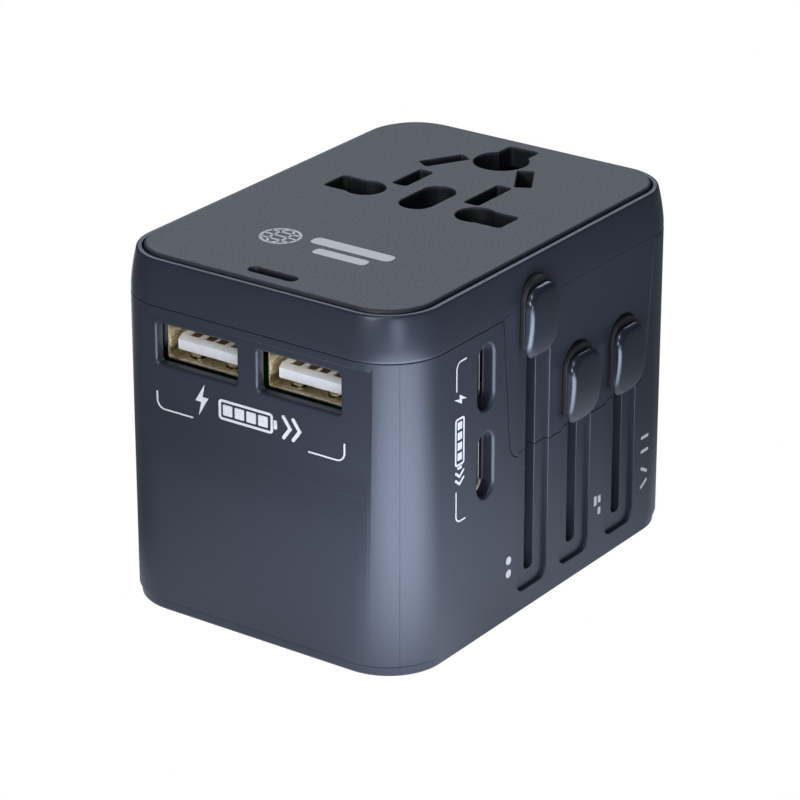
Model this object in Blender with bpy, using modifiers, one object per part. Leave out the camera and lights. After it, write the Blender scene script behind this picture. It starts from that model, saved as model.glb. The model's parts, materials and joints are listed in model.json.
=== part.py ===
"""Universal travel adapter, modelled as its separate pieces at real size.

Named dimensions are in millimetres, and every mesh is made in metres (MM below).
Frame: origin at the centre of the base face, +Z up to the socket panel, +X out of the
face that carries the three plug sliders, -Y out of the face that carries the USB-A ports.
A span is a (low, high) pair along one axis.
"""
from math import atan2, cos, pi, radians, sin, tan

import bmesh
import bpy
from mathutils import Matrix, Vector

MM = 0.001
GAP = 0.3                       # clearance between pieces that touch on the real object

# ---- housing ----------------------------------------------------------------------
BODY_X, BODY_Y, BODY_TOP = 50.5, 70.5, 52.5
CORNER = 9.0                    # plan radius of the vertical corners
WALL = 2.0
RING_WALL = 2.5                 # the top shell's ring is thicker, and carries the panel
SPLIT_Z = 46.1                  # parting line between the top shell and the lower shells
BASE_BAND = 1.5                 # height of the base plate's visible band
BASE_INSET = 0.35
BASE_TOP = 3.0                  # inner face of the base plate
RIM_BEVEL = 1.0
LEDGE_Z = 49.5                  # shelf in the ring that the socket panel rests on
PANEL_TOP = 52.95
PANEL_INSET = 1.7               # rim width round the panel's recess
CORNER_STEPS = 7

# the tongue of the top shell behind the sliders: half outlines at two heights
TONGUE_TOP_Y, TONGUE_LOW_Y = (-12.2, 26.5), (-10.1, 24.1)
TONGUE_LOW_Z, TONGUE_HIGH_Z = 24.7, 47.0
TONGUE_ROUND = 2.5

# ---- sliders ----------------------------------------------------------------------
CHANNEL_WIDTH, CHANNEL_DEPTH, CHANNEL_LOW = 7.6, 0.6, 3.5
SLOT_WIDTH, SLOT_LOW = 2.2, 6.0
KNOB_WIDTH, KNOB_HEIGHT, KNOB_FACE_X = 7.3, 10.4, 27.35
KNOB_DROP = 1.0                              # how far the cap hangs below its foot's middle
FOOT_WIDTH, FOOT_HEIGHT, FOOT_CORNER, FOOT_TOP_X = 6.6, 9.6, 2.6, 25.85
STEM_WIDTH = 1.6
EU_Y, UK_Y, US_Y = -4.4, 6.45, 18.4          # middles of the three channels
EU_KNOB_Z, LOW_KNOB_Z = 44.9, 31.4           # middles of the knobs' feet at rest
EU_ARCH, LOW_ARCH = 50.4, 37.0               # tops of the channels
EU_TRAVEL, LOW_TRAVEL = 35.5, 22.4
RISER_X = (21.0, 22.6)                       # upright that the slider's stem meets

# ---- plugs ------------------------------------------------------------------------
EU_BODY_X, EU_BODY_Y, EU_CHAMFER = 33.8, 14.0, 4.0
EU_PLUG_Y, EU_PIN_PITCH, EU_PIN_R, EU_PIN_TIP = -11.5, 19.0, 2.0, 1.0
EU_FACE_Z, EU_FLANGE_Z, EU_FLANGE_X = 20.0, (38.8, 40.8), (-17.2, 17.2)
EU_ARM_Y, EU_RISER_TOP = (-6.1, -2.8), 46.0
EU_PIN_CORE_R, EU_SLEEVE_Z, EU_PIN_ROOT, EU_BORE_TOP = 1.3, (10.3, 25.0), 30.0, 31.0
UK_PIN_X, UK_PIN_Y, UK_PIN = 11.1, 4.2, (6.35, 4.0)
UK_EARTH_Y, UK_EARTH = 26.4, (4.0, 8.0)
UK_PIN_TIP, UK_EARTH_TIP, SLEEVE_FROM = 5.0, 0.3, 13.6
UK_SLEEVE_SKIN = 0.65                        # the sleeve and its gap, on each side of the core
UK_CARRIAGE = ((16, 0.9), (16, 8.0), (-12.5, 8.0), (-12.5, 22.2), (5, 22.2), (5, 31.2),
               (-5, 31.2), (-5, 25.6), (-15.7, 25.6), (-15.7, 0.9))
CARRIAGE_Z = (25.6, 29.6)                    # UK and US carriage plates at rest
CARRIAGE_ROOF, ARM_WIDE, LOW_RISER_TOP = 0.6, 3.2, 34.0
US_BLADE, US_BLADE_TIP = (1.5, 6.3), 4.9
US_PIVOT_X, US_PIVOT_Y, US_PIVOT_OFFSET = 6.35, 15.6, 1.0
US_CARRIAGE_X, US_CARRIAGE_Y = (-12.1, 12.1), (9.6, 21.5)
HUB_R, HUB_FLANGE_R, HUB_FLANGE_Z = 5.0, 5.6, (29.9, 30.8)
BLADE_ROOT, BLADE_SLOT_TOP = 29.0, 29.3

# ---- socket face ------------------------------------------------------------------
LINE_HOLE_X, LINE_HOLE_Y = (9.5, 15.1), (1.65, 6.7)     # the round hole forms the inner end
ROUND_HOLE_X, ROUND_HOLE_Y, ROUND_HOLE_R = 9.5, 4.17, 2.95
EARTH_HOLE_X, EARTH_HOLE_Y, EARTH_ROUND_R = 2.5, (24.6, 30.86), 4.05
CENTRE_HOLE_X, CENTRE_HOLE_Y = 2.55, (0.87, 11.1)
US_SLOT_LEFT = ((-7.6, -5.2), (8.0, 15.05))
US_SLOT_RIGHT = ((5.2, 7.7), (7.3, 15.95))
AU_SLOT_AT, AU_SLOT, AU_TILT, AU_CORNER = (6.95, 20.2), (2.4, 7.0), radians(30), 0.3
LED_SLOT_AT, LED_SLOT = (0.1, -30.2), (7.9, 1.8)
LED_WINDOW_TOP = 51.75

# ---- ports ------------------------------------------------------------------------
RECESS_DEPTH, RECESS_Z, RECESS_FADE_Z = 0.58, (31.5, 44.86), 20.5
USB_A_X, USB_A_Z = (-9.8, 7.5), 40.5
USB_A_OPENING, USB_A_OUTER, USB_A_INNER = (14.2, 6.3), (13.1, 5.7), (12.5, 5.1)
USB_A_FRONT, USB_A_BACK = -32.7, -20.9
USB_A_TONGUE_WIDE, USB_A_TONGUE_Z, USB_A_TONGUE_FRONT = 11.2, (38.75, 40.85), -31.5
USB_A_FINGER_X, USB_A_FINGER_Y, USB_A_FINGER_Z = (-3.5, -1, 1, 3.5), (-31.0, -22.5), (41.15, 41.35)
USB_A_COMB_Y, USB_A_COMB_WIDE, USB_A_FINGER_WIDE = (-23.0, -22.0), 8.0, 1.0
USB_C_Y, USB_C_Z = -16.2, (39.2, 26.25)
USB_C_OPENING, USB_C_OUTER, USB_C_INNER = (4.35, 10.05), (3.2, 9.0), (2.6, 8.4)
USB_C_FRONT, USB_C_BACK = 23.1, 17.8
USB_C_TONGUE, USB_C_TONGUE_FRONT = (0.7, 6.7), 22.2

# ---- inside -----------------------------------------------------------------------
POST_AT, POST_R, SCREW_R, SCREW_HEAD_R = (19.2, 29.2), 2.5, 1.0, 2.2
BLOCK_Z, BLOCK_FLOOR, CENTRE_FLOOR = (31.3, 47.2), 34.0, 38.0
BLOCK_X, BLOCK_Y, EARTH_BLOCK = (-16.5, 16.5), (-1.2, 25.6), ((-7.5, 7.5), (24, 32.2))
SHUTTER_Z, SHUTTER_TRAVEL = (47.6, 49.4), 5.8
SHUTTER_WING_X, SHUTTER_Y = (6.0, 15.6), (-2.6, 0.4, 7.1)      # bar's low edge and top, wings' top
SPRING_TURNS, SPRING_R, SPRING_WIRE_R, SPRING_Y = 8, 0.75, 0.14, (-15.6, -3.0)
BLOCK_SCREW_AT = (14.0, 17.0)
CONTACT_Z, CONTACT_SHEET = (36.0, 46.2), 0.5
CONTACT_PATH = ((7.0, 1.0), (15.1, 1.0), (15.1, 7.4), (9.4, 7.4), (8.5, 8.6), (8.5, 15.2),
                (10.4, 17.6), (6.9, 24.0))
EARTH_CONTACT_Z = (33.0, 46.2)
EARTH_CONTACT_PATH = ((-2.9, 22.4), (-2.9, 30.2), (-2.2, 31.0), (2.2, 31.0), (2.9, 30.2),
                      (2.9, 22.4))
FUSE_AT, FUSE_Y, FUSE_R, CLIP_R = (-19.9, 36.0), (3.0, 23.0), 2.4, (2.7, 3.1)
FUSE_BAR_WIDE, FUSE_BAR_Z, CLIP_Y, CLIP_WIDE = 4.0, (31.9, 33.1), (5.0, 21.0), 3.0
BOARDS = {                      # spans along X, Y and Z
    "usb_a_board": ((-16.3, 16.3), (-32.9, -20.6), (43.65, 44.85)),
    "usb_c_board": ((17.6, 22.9), (-19.4, -18.1), (20.8, 45.0)),
    "power_board": ((-21.0, 16.5), (-20.9, -19.7), (3.6, 37.2)),
}
CORE, CORE_WINDOW = ((-15.6, 0.4), (-31.6, -22.6), (5, 19)), ((-12.6, -2.6), (8, 16))
WINDING = ((-12.3, -2.9), (-32.6, -21.4), (8.3, 15.7))
CAPACITORS = {                  # place, heights, radius
    "input_capacitor": ((6.5, -26.9), (5, 26), 5.0),
    "output_capacitor": ((14.0, -24.0), (5, 17), 2.4),
}
LED = ((-2.6, -0.6), (-30.9, -29.3), (45.15, 49.2))

MATERIALS = {                   # linear base colour, metallic, roughness
    "shell_plastic": ((0.045, 0.052, 0.070), 0.0, 0.38),
    "panel_plastic": ((0.025, 0.027, 0.030), 0.0, 0.55),
    "black_plastic": ((0.012, 0.012, 0.013), 0.0, 0.45),
    "white_plastic": ((0.75, 0.75, 0.73), 0.0, 0.40),
    "brass": ((0.78, 0.57, 0.22), 1.0, 0.30),
    "nickel": ((0.62, 0.60, 0.57), 1.0, 0.28),
    "steel": ((0.45, 0.45, 0.46), 1.0, 0.35),
    "circuit_board": ((0.02, 0.14, 0.05), 0.0, 0.45),
    "ferrite": ((0.03, 0.03, 0.032), 0.0, 0.60),
    "winding_tape": ((0.70, 0.50, 0.06), 0.0, 0.50),
    "capacitor_sleeve": ((0.02, 0.02, 0.08), 0.0, 0.35),
    "lens_plastic": ((0.80, 0.86, 0.90), 0.0, 0.20),
}


# ---- scene, collections, materials ------------------------------------------------
def clear_scene():
    for thing in list(bpy.data.objects):
        bpy.data.objects.remove(thing)


def new_collection(name):
    collection = bpy.data.collections.new(name)
    bpy.context.scene.collection.children.link(collection)
    return collection


def make_materials():
    made = {}
    for name, (colour, metallic, roughness) in MATERIALS.items():
        material = bpy.data.materials.new(name)
        material.use_nodes = True
        shader = material.node_tree.nodes["Principled BSDF"]
        shader.inputs["Base Color"].default_value = (*colour, 1.0)
        shader.inputs["Metallic"].default_value = metallic
        shader.inputs["Roughness"].default_value = roughness
        made[name] = material
    return made


clear_scene()
PARTS = new_collection("travel_adapter")
CUTTERS = new_collection("cutters")
LOOKS = make_materials()


# ---- shapes -----------------------------------------------------------------------
def add_object(name, mesh, at, look=None):
    """Link a mesh as a named piece, or as a cutter when it has no look."""
    thing = bpy.data.objects.new(name, mesh)
    thing.location = Vector(at) * MM
    if look:
        mesh.materials.clear()
        mesh.materials.append(LOOKS[look])
        PARTS.objects.link(thing)
    else:
        thing.hide_render = True
        thing.display_type = "WIRE"
        CUTTERS.objects.link(thing)
    return thing


def mesh_of(bm, name):
    mesh = bpy.data.meshes.new(name)
    bm.to_mesh(mesh)
    bm.free()
    return mesh


def box(name, x, y, z, look=None, corner=0.0, along="Z", steps=4, top_bevel=0.0):
    """A box over three spans, its edges along one axis rounded, its top edge bevelled."""
    low, high = Vector((x[0], y[0], z[0])), Vector((x[1], y[1], z[1]))
    bm = bmesh.new()
    bmesh.ops.create_cube(bm, size=1.0)
    bmesh.ops.scale(bm, vec=(high - low) * MM, verts=bm.verts)
    if corner:
        axis = "XYZ".index(along)
        edges = [e for e in bm.edges if abs((e.verts[0].co - e.verts[1].co)[axis]) > 1e-7]
        bmesh.ops.bevel(bm, geom=edges, offset=corner * MM, segments=steps, profile=0.5,
                        affect="EDGES")
    if top_bevel:
        top = (high.z - low.z) / 2 * MM
        edges = [e for e in bm.edges if all(abs(v.co.z - top) < 1e-7 for v in e.verts)]
        bmesh.ops.bevel(bm, geom=edges, offset=top_bevel * MM, segments=2, profile=0.5,
                        affect="EDGES")
    return add_object(name, mesh_of(bm, name), (low + high) / 2, look)


TURN = {"X": Matrix.Rotation(pi / 2, 4, "Y"), "Y": Matrix.Rotation(-pi / 2, 4, "X"),
        "Z": Matrix.Identity(4)}


def cylinder(name, at, span, radius, look=None, along="Z", sides=24):
    """A cylinder over a span of one axis; at gives the other two coordinates in order."""
    bm = bmesh.new()
    bmesh.ops.create_cone(bm, cap_ends=True, segments=sides, radius1=radius * MM,
                          radius2=radius * MM, depth=(span[1] - span[0]) * MM)
    bmesh.ops.transform(bm, matrix=TURN[along], verts=bm.verts)
    centre = list(at)
    centre.insert("XYZ".index(along), sum(span) / 2)
    return add_object(name, mesh_of(bm, name), centre, look)


def turned(name, profile, at, look=None, sides=24):
    """A turned piece: (radius, height) points from the top of the axis to its bottom."""
    bm = bmesh.new()
    points = [bm.verts.new((radius * MM, 0.0, height * MM)) for radius, height in profile]
    for upper, lower in zip(points, points[1:]):
        bm.edges.new((upper, lower))
    thing = add_object(name, mesh_of(bm, name), at, look)
    screw = thing.modifiers.new("turn", "SCREW")
    screw.steps = screw.render_steps = sides
    screw.use_merge_vertices = True
    screw.merge_threshold = 0.00001
    return thing


def rounded(corners, steps=4):
    """An outline with its corners rounded: each corner is (u, v) or (u, v, radius)."""
    points = []
    count = len(corners)
    for i, corner in enumerate(corners):
        here = Vector(corner[:2])
        radius = corner[2] if len(corner) > 2 else 0.0
        if not radius:
            points.append(here)
            continue
        back = (Vector(corners[i - 1][:2]) - here).normalized()
        ahead = (Vector(corners[(i + 1) % count][:2]) - here).normalized()
        half = back.angle(ahead) / 2
        centre = here + (back + ahead).normalized() * (radius / sin(half))
        first = here + back * (radius / tan(half)) - centre
        last = here + ahead * (radius / tan(half)) - centre
        sweep = atan2(first.x * last.y - first.y * last.x, first.dot(last))
        start = atan2(first.y, first.x)
        for k in range(steps + 1):
            angle = start + sweep * k / steps
            points.append(centre + radius * Vector((cos(angle), sin(angle))))
    return points


def plate(name, outline, span, look=None, along="Z"):
    """A filled outline extruded over a span. It lies in XY, in YZ (along X) or XZ (along Y)."""
    curve = bpy.data.curves.new(name, "CURVE")
    curve.dimensions = "2D"
    curve.fill_mode = "BOTH"
    curve.extrude = (span[1] - span[0]) / 2
    spline = curve.splines.new("POLY")
    spline.points.add(len(outline) - 1)
    for point, place in zip(spline.points, outline):
        point.co = (place[0], place[1], 0.0, 1.0)
    spline.use_cyclic_u = True
    carrier = bpy.data.objects.new(name, curve)
    PARTS.objects.link(carrier)
    bpy.context.view_layer.update()
    evaluated = carrier.evaluated_get(bpy.context.evaluated_depsgraph_get())
    mesh = bpy.data.meshes.new_from_object(evaluated)
    bpy.data.objects.remove(carrier)
    bm = bmesh.new()
    bm.from_mesh(mesh)
    bmesh.ops.remove_doubles(bm, verts=bm.verts, dist=1e-4)
    bmesh.ops.dissolve_limit(bm, angle_limit=radians(0.5), verts=bm.verts, edges=bm.edges)
    turn = {"Z": Matrix.Identity(3), "X": Matrix(((0, 0, 1), (1, 0, 0), (0, 1, 0))),
            "Y": Matrix(((1, 0, 0), (0, 0, 1), (0, 1, 0)))}[along]
    bmesh.ops.transform(bm, matrix=(turn * MM).to_4x4(), verts=bm.verts)
    bmesh.ops.recalc_face_normals(bm, faces=bm.faces)
    bm.to_mesh(mesh)
    bm.free()
    at = [0.0, 0.0, 0.0]
    at["XYZ".index(along)] = sum(span) / 2
    return add_object(name, mesh, at, look)


def ribbon(name, path, z, look):
    """A thin sheet-metal strip: an open path in plan, standing over a span of heights."""
    bm = bmesh.new()
    low = [bm.verts.new((x * MM, y * MM, 0.0)) for x, y in path]
    rail = [bm.edges.new(pair) for pair in zip(low, low[1:])]
    swept = bmesh.ops.extrude_edge_only(bm, edges=rail)["geom"]
    raised = [v for v in swept if isinstance(v, bmesh.types.BMVert)]
    bmesh.ops.translate(bm, vec=(0, 0, (z[1] - z[0]) * MM), verts=raised)
    bmesh.ops.recalc_face_normals(bm, faces=bm.faces)
    thing = add_object(name, mesh_of(bm, name), (0, 0, z[0]), look)
    sheet = thing.modifiers.new("sheet", "SOLIDIFY")
    sheet.thickness = CONTACT_SHEET * MM
    sheet.offset = 0.0
    return thing


def joined(name, *things):
    """Gather separate shapes, none touching another, into one cutter or guide."""
    bm = bmesh.new()
    for thing in things:
        part = thing.data.copy()
        part.transform(Matrix.Translation(thing.location))
        bm.from_mesh(part)
        bpy.data.meshes.remove(part)
    for thing in things:
        bpy.data.objects.remove(thing)
    return add_object(name, mesh_of(bm, name), (0, 0, 0))


def combine(thing, operation, tools):
    for tool in tools:
        step = thing.modifiers.new(tool.name, "BOOLEAN")
        step.operation = operation
        step.solver = "EXACT"
        step.object = tool
    return thing


def cut(thing, *tools):
    return combine(thing, "DIFFERENCE", tools)


def fuse(thing, *tools):
    return combine(thing, "UNION", tools)


def around(middle, size):
    return middle - size / 2, middle + size / 2


def mount_on(parent, *things):
    """Parent pieces, and the cutters that shape them, to a joint's empty, in place."""
    for thing in things:
        for tool in [m.object for m in thing.modifiers if m.type == "BOOLEAN"] + [thing]:
            if tool.parent is None:
                tool.parent = parent
                tool.location -= parent.location


def empty(name, at):
    thing = bpy.data.objects.new(name, None)
    thing.location = Vector(at) * MM
    PARTS.objects.link(thing)
    return thing


# ---- housing ----------------------------------------------------------------------
def footprint(inset):
    """Spans and corner radius of the body's plan, drawn in by an inset."""
    return (around(0, BODY_X - 2 * inset), around(0, BODY_Y - 2 * inset)), CORNER - inset


def body_block(name, z, inset, look=None, top_bevel=0.0):
    (x, y), corner = footprint(inset)
    return box(name, x, y, z, look, corner, steps=CORNER_STEPS, top_bevel=top_bevel)


def tongue_outline(grow):
    """The tongue's outline in YZ, grown by a clearance."""
    (top_a, top_b), (low_a, low_b) = TONGUE_TOP_Y, TONGUE_LOW_Y
    low, high = TONGUE_LOW_Z - grow, TONGUE_HIGH_Z
    return rounded([(top_a - grow, high), (low_a - grow, low, TONGUE_ROUND + grow),
                    (low_b + grow, low, TONGUE_ROUND + grow), (top_b + grow, high)])


def channel_outline(y, arch):
    low, half = CHANNEL_LOW, CHANNEL_WIDTH / 2
    return rounded([(y - half, low, 1.7), (y + half, low, 1.7), (y + half, arch, half - 0.01),
                    (y - half, arch, half - 0.01)], steps=5)


def slider_cutters(owner):
    """Channel recesses and slots for the three sliders, cut from one shell."""
    tools = []
    places = (("eu", EU_Y, EU_ARCH, EU_KNOB_Z), ("uk", UK_Y, LOW_ARCH, LOW_KNOB_Z),
              ("us", US_Y, LOW_ARCH, LOW_KNOB_Z))
    face = BODY_X / 2
    for name, y, arch, knob_z in places:
        tools.append(plate(f"{owner}_{name}_channel", channel_outline(y, arch),
                           (face - CHANNEL_DEPTH, face + 2), along="X"))
        tools.append(box(f"{owner}_{name}_slot", (face - 4, face + 1), around(y, SLOT_WIDTH),
                         (SLOT_LOW, knob_z + 2.9), corner=0.8, along="X", steps=2))
    return tools


def front_region(shift):
    """Everything in front of the two 45-degree lines through the front corners' centres."""
    apex = -(BODY_Y - BODY_X) / 2 + shift
    reach = BODY_Y
    return plate("front_region", [(0, apex), (reach, apex - reach), (-reach, apex - reach)],
                 (-5, BODY_TOP + 5))


def make_top_shell():
    shell = body_block("top_shell", (SPLIT_Z + GAP / 2, BODY_TOP), 0, "shell_plastic", RIM_BEVEL)
    face = BODY_X / 2
    tongue = plate("tongue", tongue_outline(0), (face - WALL, face), along="X")
    cavity = body_block("ring_cavity", (SPLIT_Z - 5, LEDGE_Z + 1), RING_WALL)
    recess = body_block("panel_recess", (LEDGE_Z, BODY_TOP + 1), PANEL_INSET)
    posts = [cylinder(f"post_{i}", at, (BASE_TOP + GAP, LEDGE_Z), POST_R)
             for i, at in enumerate(corner_places(POST_AT))]
    bores = joined("post_bores", *[cylinder(f"bore_{i}", at, (BASE_TOP - 1, 18), SCREW_R + GAP,
                                            sides=16)
                                   for i, at in enumerate(corner_places(POST_AT))])
    cut(shell, cavity, recess)
    fuse(shell, joined("posts", *posts), tongue)
    cut(shell, bores, *slider_cutters("top"))
    return shell


def corner_places(at):
    x, y = at
    return [(x, y), (-x, y), (-x, -y), (x, -y)]


def lower_ring(name):
    shell = body_block(name, (BASE_BAND + GAP / 2, SPLIT_Z - GAP / 2), 0, "shell_plastic")
    return cut(shell, body_block(name + "_cavity", (-5, SPLIT_Z + 5), WALL))


def make_front_shell():
    shell = combine(lower_ring("front_shell"), "INTERSECT", [front_region(-GAP / 2)])
    face = -BODY_Y / 2
    low, high = RECESS_Z
    recess = plate("port_recess", [(face - 1, high), (face - 1, RECESS_FADE_Z),
                                   (face, RECESS_FADE_Z), (face + RECESS_DEPTH, low),
                                   (face + RECESS_DEPTH, high)], around(0, BODY_X + 4), along="X")
    width, height = USB_A_OPENING
    ports = joined("usb_a_openings", *[
        box(f"usb_a_opening_{i}", around(x, width), (face - 2, face + WALL + 1),
            around(USB_A_Z, height), corner=0.8, along="Y", steps=3)
        for i, x in enumerate(USB_A_X)])
    return cut(shell, recess, ports)


def make_rear_shell():
    shell = cut(lower_ring("rear_shell"), front_region(GAP / 2))
    face = BODY_X / 2
    gap_for_tongue = plate("tongue_gap", tongue_outline(GAP), (face - WALL - 1, face + 1),
                           along="X")
    width, height = USB_C_OPENING
    ports = joined("usb_c_openings", *[
        box(f"usb_c_opening_{i}", (face - WALL - 1, face + 2), around(USB_C_Y, width),
            around(z, height), corner=width / 2 - 0.02, along="X", steps=6)
        for i, z in enumerate(USB_C_Z)])
    return cut(shell, gap_for_tongue, ports, *slider_cutters("rear"))


def eu_outline(grow):
    """Plan of the EU plug body: a long hexagon with soft corners."""
    x, y, c = EU_BODY_X / 2 + grow, EU_BODY_Y / 2 + grow, EU_CHAMFER
    mid = EU_PLUG_Y
    return rounded([(x, mid - y + c, 1), (x, mid + y - c, 1), (x - c, mid + y, 1),
                    (-x + c, mid + y, 1), (-x, mid + y - c, 1), (-x, mid - y + c, 1),
                    (-x + c, mid - y, 1), (x - c, mid - y, 1)], steps=2)


def make_base_plate():
    base = body_block("base_plate", (0, BASE_BAND - GAP / 2), BASE_INSET, "shell_plastic")
    fuse(base, body_block("base_plug", (BASE_BAND - 1, BASE_TOP), WALL + GAP))
    depth = (-2, BASE_TOP + 2)
    holes = [plate("eu_way", eu_outline(2 * GAP), depth)]
    holes += [box(f"uk_way_{i}", around(x, UK_PIN[0] + 0.8), around(UK_PIN_Y, UK_PIN[1] + 0.8),
                  depth, corner=0.8, steps=2) for i, x in enumerate((-UK_PIN_X, UK_PIN_X))]
    holes.append(box("uk_earth_way", around(0, UK_EARTH[0] + 0.8),
                     around(UK_EARTH_Y, UK_EARTH[1] + 0.8), depth, corner=0.8, steps=2))
    holes += [cylinder(f"us_way_{i}", (x, US_PIVOT_Y), depth, 4.6)
              for i, x in enumerate((-US_PIVOT_X, US_PIVOT_X))]
    holes += [cylinder(f"screw_way_{i}", at, depth, SCREW_R + GAP, sides=16)
              for i, at in enumerate(corner_places(POST_AT))]
    sinks = [cylinder(f"screw_sink_{i}", at, (-2, 2.0), SCREW_HEAD_R + GAP, sides=20)
             for i, at in enumerate(corner_places(POST_AT))]
    return cut(base, joined("base_ways", *holes), joined("screw_sinks", *sinks))


def make_base_screws():
    profile = [(0, 15), (SCREW_R, 14.2), (SCREW_R, 1.7), (SCREW_HEAD_R, 1.5),
               (SCREW_HEAD_R, 0.4), (0, 0.4)]
    for i, at in enumerate(corner_places(POST_AT)):
        turned(f"base_screw_{i + 1}", profile, (*at, 0), "steel", sides=16)


# ---- socket face ------------------------------------------------------------------
def stadium(x, y, tilt=0.0, corner=None):
    """An outline over two spans, turned about its middle: round ends unless a corner is given."""
    half_x, half_y = (x[1] - x[0]) / 2, (y[1] - y[0]) / 2
    radius = corner or min(half_x, half_y) - 0.01
    shape = rounded([(half_x, -half_y, radius), (half_x, half_y, radius),
                     (-half_x, half_y, radius), (-half_x, -half_y, radius)])
    turn = Matrix.Rotation(tilt, 2)
    middle = Vector((sum(x) / 2, sum(y) / 2))
    return [turn @ point + middle for point in shape]


def panel_holes():
    """Cutters for every opening of the socket face."""
    depth = (LEDGE_Z - 1, PANEL_TOP + 2)
    holes = []
    for i, side in enumerate((-1, 1)):
        x = sorted(side * edge for edge in LINE_HOLE_X)
        holes.append(box(f"line_hole_{i}", x, LINE_HOLE_Y, depth, corner=0.6, steps=2))
        holes.append(cylinder(f"round_hole_{i}", (side * ROUND_HOLE_X, ROUND_HOLE_Y), depth,
                              ROUND_HOLE_R))
        width, length = AU_SLOT
        holes.append(plate(f"au_slot_{i}", stadium(around(side * AU_SLOT_AT[0], width),
                                                   around(AU_SLOT_AT[1], length),
                                                   side * AU_TILT, AU_CORNER), depth))
    holes.append(box("earth_hole", around(0, 2 * EARTH_HOLE_X), EARTH_HOLE_Y, depth,
                     corner=0.6, steps=2))
    holes.append(cylinder("earth_round_hole", (0, EARTH_HOLE_Y[0]), depth, EARTH_ROUND_R))
    holes.append(plate("centre_hole", stadium(around(0, 2 * CENTRE_HOLE_X), CENTRE_HOLE_Y), depth))
    for name, (x, y) in (("us_slot_left", US_SLOT_LEFT), ("us_slot_right", US_SLOT_RIGHT)):
        holes.append(box(name, x, y, depth, corner=0.5, steps=2))
    holes.append(plate("led_slot", stadium(around(LED_SLOT_AT[0], LED_SLOT[0]),
                                           around(LED_SLOT_AT[1], LED_SLOT[1])), depth))
    return holes


def make_socket_panel():
    panel = body_block("socket_panel", (LEDGE_Z + GAP, PANEL_TOP), PANEL_INSET + GAP,
                       "panel_plastic", top_bevel=0.4)
    under = (BLOCK_Z[1] + GAP, LEDGE_Z + 1)
    bosses = [cylinder(f"panel_boss_{i}", at, under, 2.2, sides=16)
              for i, at in enumerate(block_screw_places())]
    stop = box("spring_stop", (-2.5, 2.5), (-17.3, -16.0), under)
    bores = [cylinder(f"boss_bore_{i}", at, (under[0] - 1, 51.2), 0.9 + GAP, sides=12)
             for i, at in enumerate(block_screw_places())]
    fuse(panel, joined("panel_bosses", stop, *bosses))
    return cut(panel, joined("boss_bores", *bores), *panel_holes())


def block_screw_places():
    x, y = BLOCK_SCREW_AT
    return [(-x, y), (x, y)]


def make_contact_block():
    block = box("contact_block", BLOCK_X, BLOCK_Y, BLOCK_Z, "black_plastic", corner=1.5, steps=2)
    fuse(block, box("earth_housing", *EARTH_BLOCK, BLOCK_Z, corner=1.5, steps=2))
    floor, top = BLOCK_FLOOR, BLOCK_Z[1] + 2
    pockets = []
    for i, side in enumerate((-1, 1)):
        x = sorted((side * 4.6, side * 15.7))
        slim = sorted((side * 4.6, side * 11.4))
        pockets.append(box(f"line_pocket_{i}", x, (0.4, 8.4), (floor, top)))
        pockets.append(box(f"blade_pocket_{i}", slim, (8.0, 25.0), (floor, top)))
    pockets.append(box("centre_pocket", (-2.6, 2.6), (0.6, 11.4), (CENTRE_FLOOR, top)))
    pockets.append(box("earth_pocket", (-3.6, 3.6), (21.6, 31.4), (BLOCK_Z[0] - 2, top)))
    ways = [cylinder(f"block_bore_{i}", at, (BLOCK_Z[0] - 1, top), 0.9 + GAP, sides=12)
            for i, at in enumerate(block_screw_places())]
    sinks = [cylinder(f"block_sink_{i}", at, (BLOCK_Z[0] - 1, BLOCK_Z[0] + 1.8), 2.1, sides=16)
             for i, at in enumerate(block_screw_places())]
    return cut(block, *pockets, joined("block_ways", *ways), joined("block_sinks", *sinks))


def make_block_screws():
    low = BLOCK_Z[0]
    profile = [(0, 50.9), (0.9, 50.3), (0.9, low + 2.1), (0.9, low + 1.5), (1.8, low + 1.4),
               (1.8, low + 0.3), (0, low + 0.3)]
    for i, at in enumerate(block_screw_places()):
        turned(f"block_screw_{i + 1}", profile, (*at, 0), "steel", sides=12)


def make_contacts():
    """Sprung strips beside the openings: line on one side, neutral on the other, and earth."""
    for name, side in (("line_contact", 1), ("neutral_contact", -1)):
        ribbon(name, [(side * x, y) for x, y in CONTACT_PATH], CONTACT_Z, "brass")
    ribbon("earth_contact", EARTH_CONTACT_PATH, EARTH_CONTACT_Z, "brass")


def make_shutter():
    """Two wings over the line and neutral openings on one cross bar, and their return spring."""
    axis = empty("shutter_slide_axis", (0, 0, sum(SHUTTER_Z) / 2))
    (inner, outer), (low, bar, high) = SHUTTER_WING_X, SHUTTER_Y
    outline = [(-outer, low), (outer, low), (outer, high), (inner, high),
               (inner, bar), (-inner, bar), (-inner, high), (-outer, high)]
    mount_on(axis, plate("safety_shutter", outline, SHUTTER_Z, "black_plastic"))
    curve = bpy.data.curves.new("shutter_spring", "CURVE")
    curve.dimensions = "3D"
    curve.bevel_depth = SPRING_WIRE_R * MM
    curve.bevel_resolution = 1
    curve.use_fill_caps = True
    spline = curve.splines.new("POLY")
    count = SPRING_TURNS * 9
    spline.points.add(count)
    first, last = SPRING_Y
    for i, point in enumerate(spline.points):
        share = i / count
        angle = 2 * pi * share * SPRING_TURNS
        point.co = (SPRING_R * cos(angle) * MM, (first + (last - first) * share) * MM,
                    (sum(SHUTTER_Z) / 2 + SPRING_R * sin(angle)) * MM, 1.0)
    spring = bpy.data.objects.new("shutter_spring", curve)
    curve.materials.append(LOOKS["steel"])
    PARTS.objects.link(spring)


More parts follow.
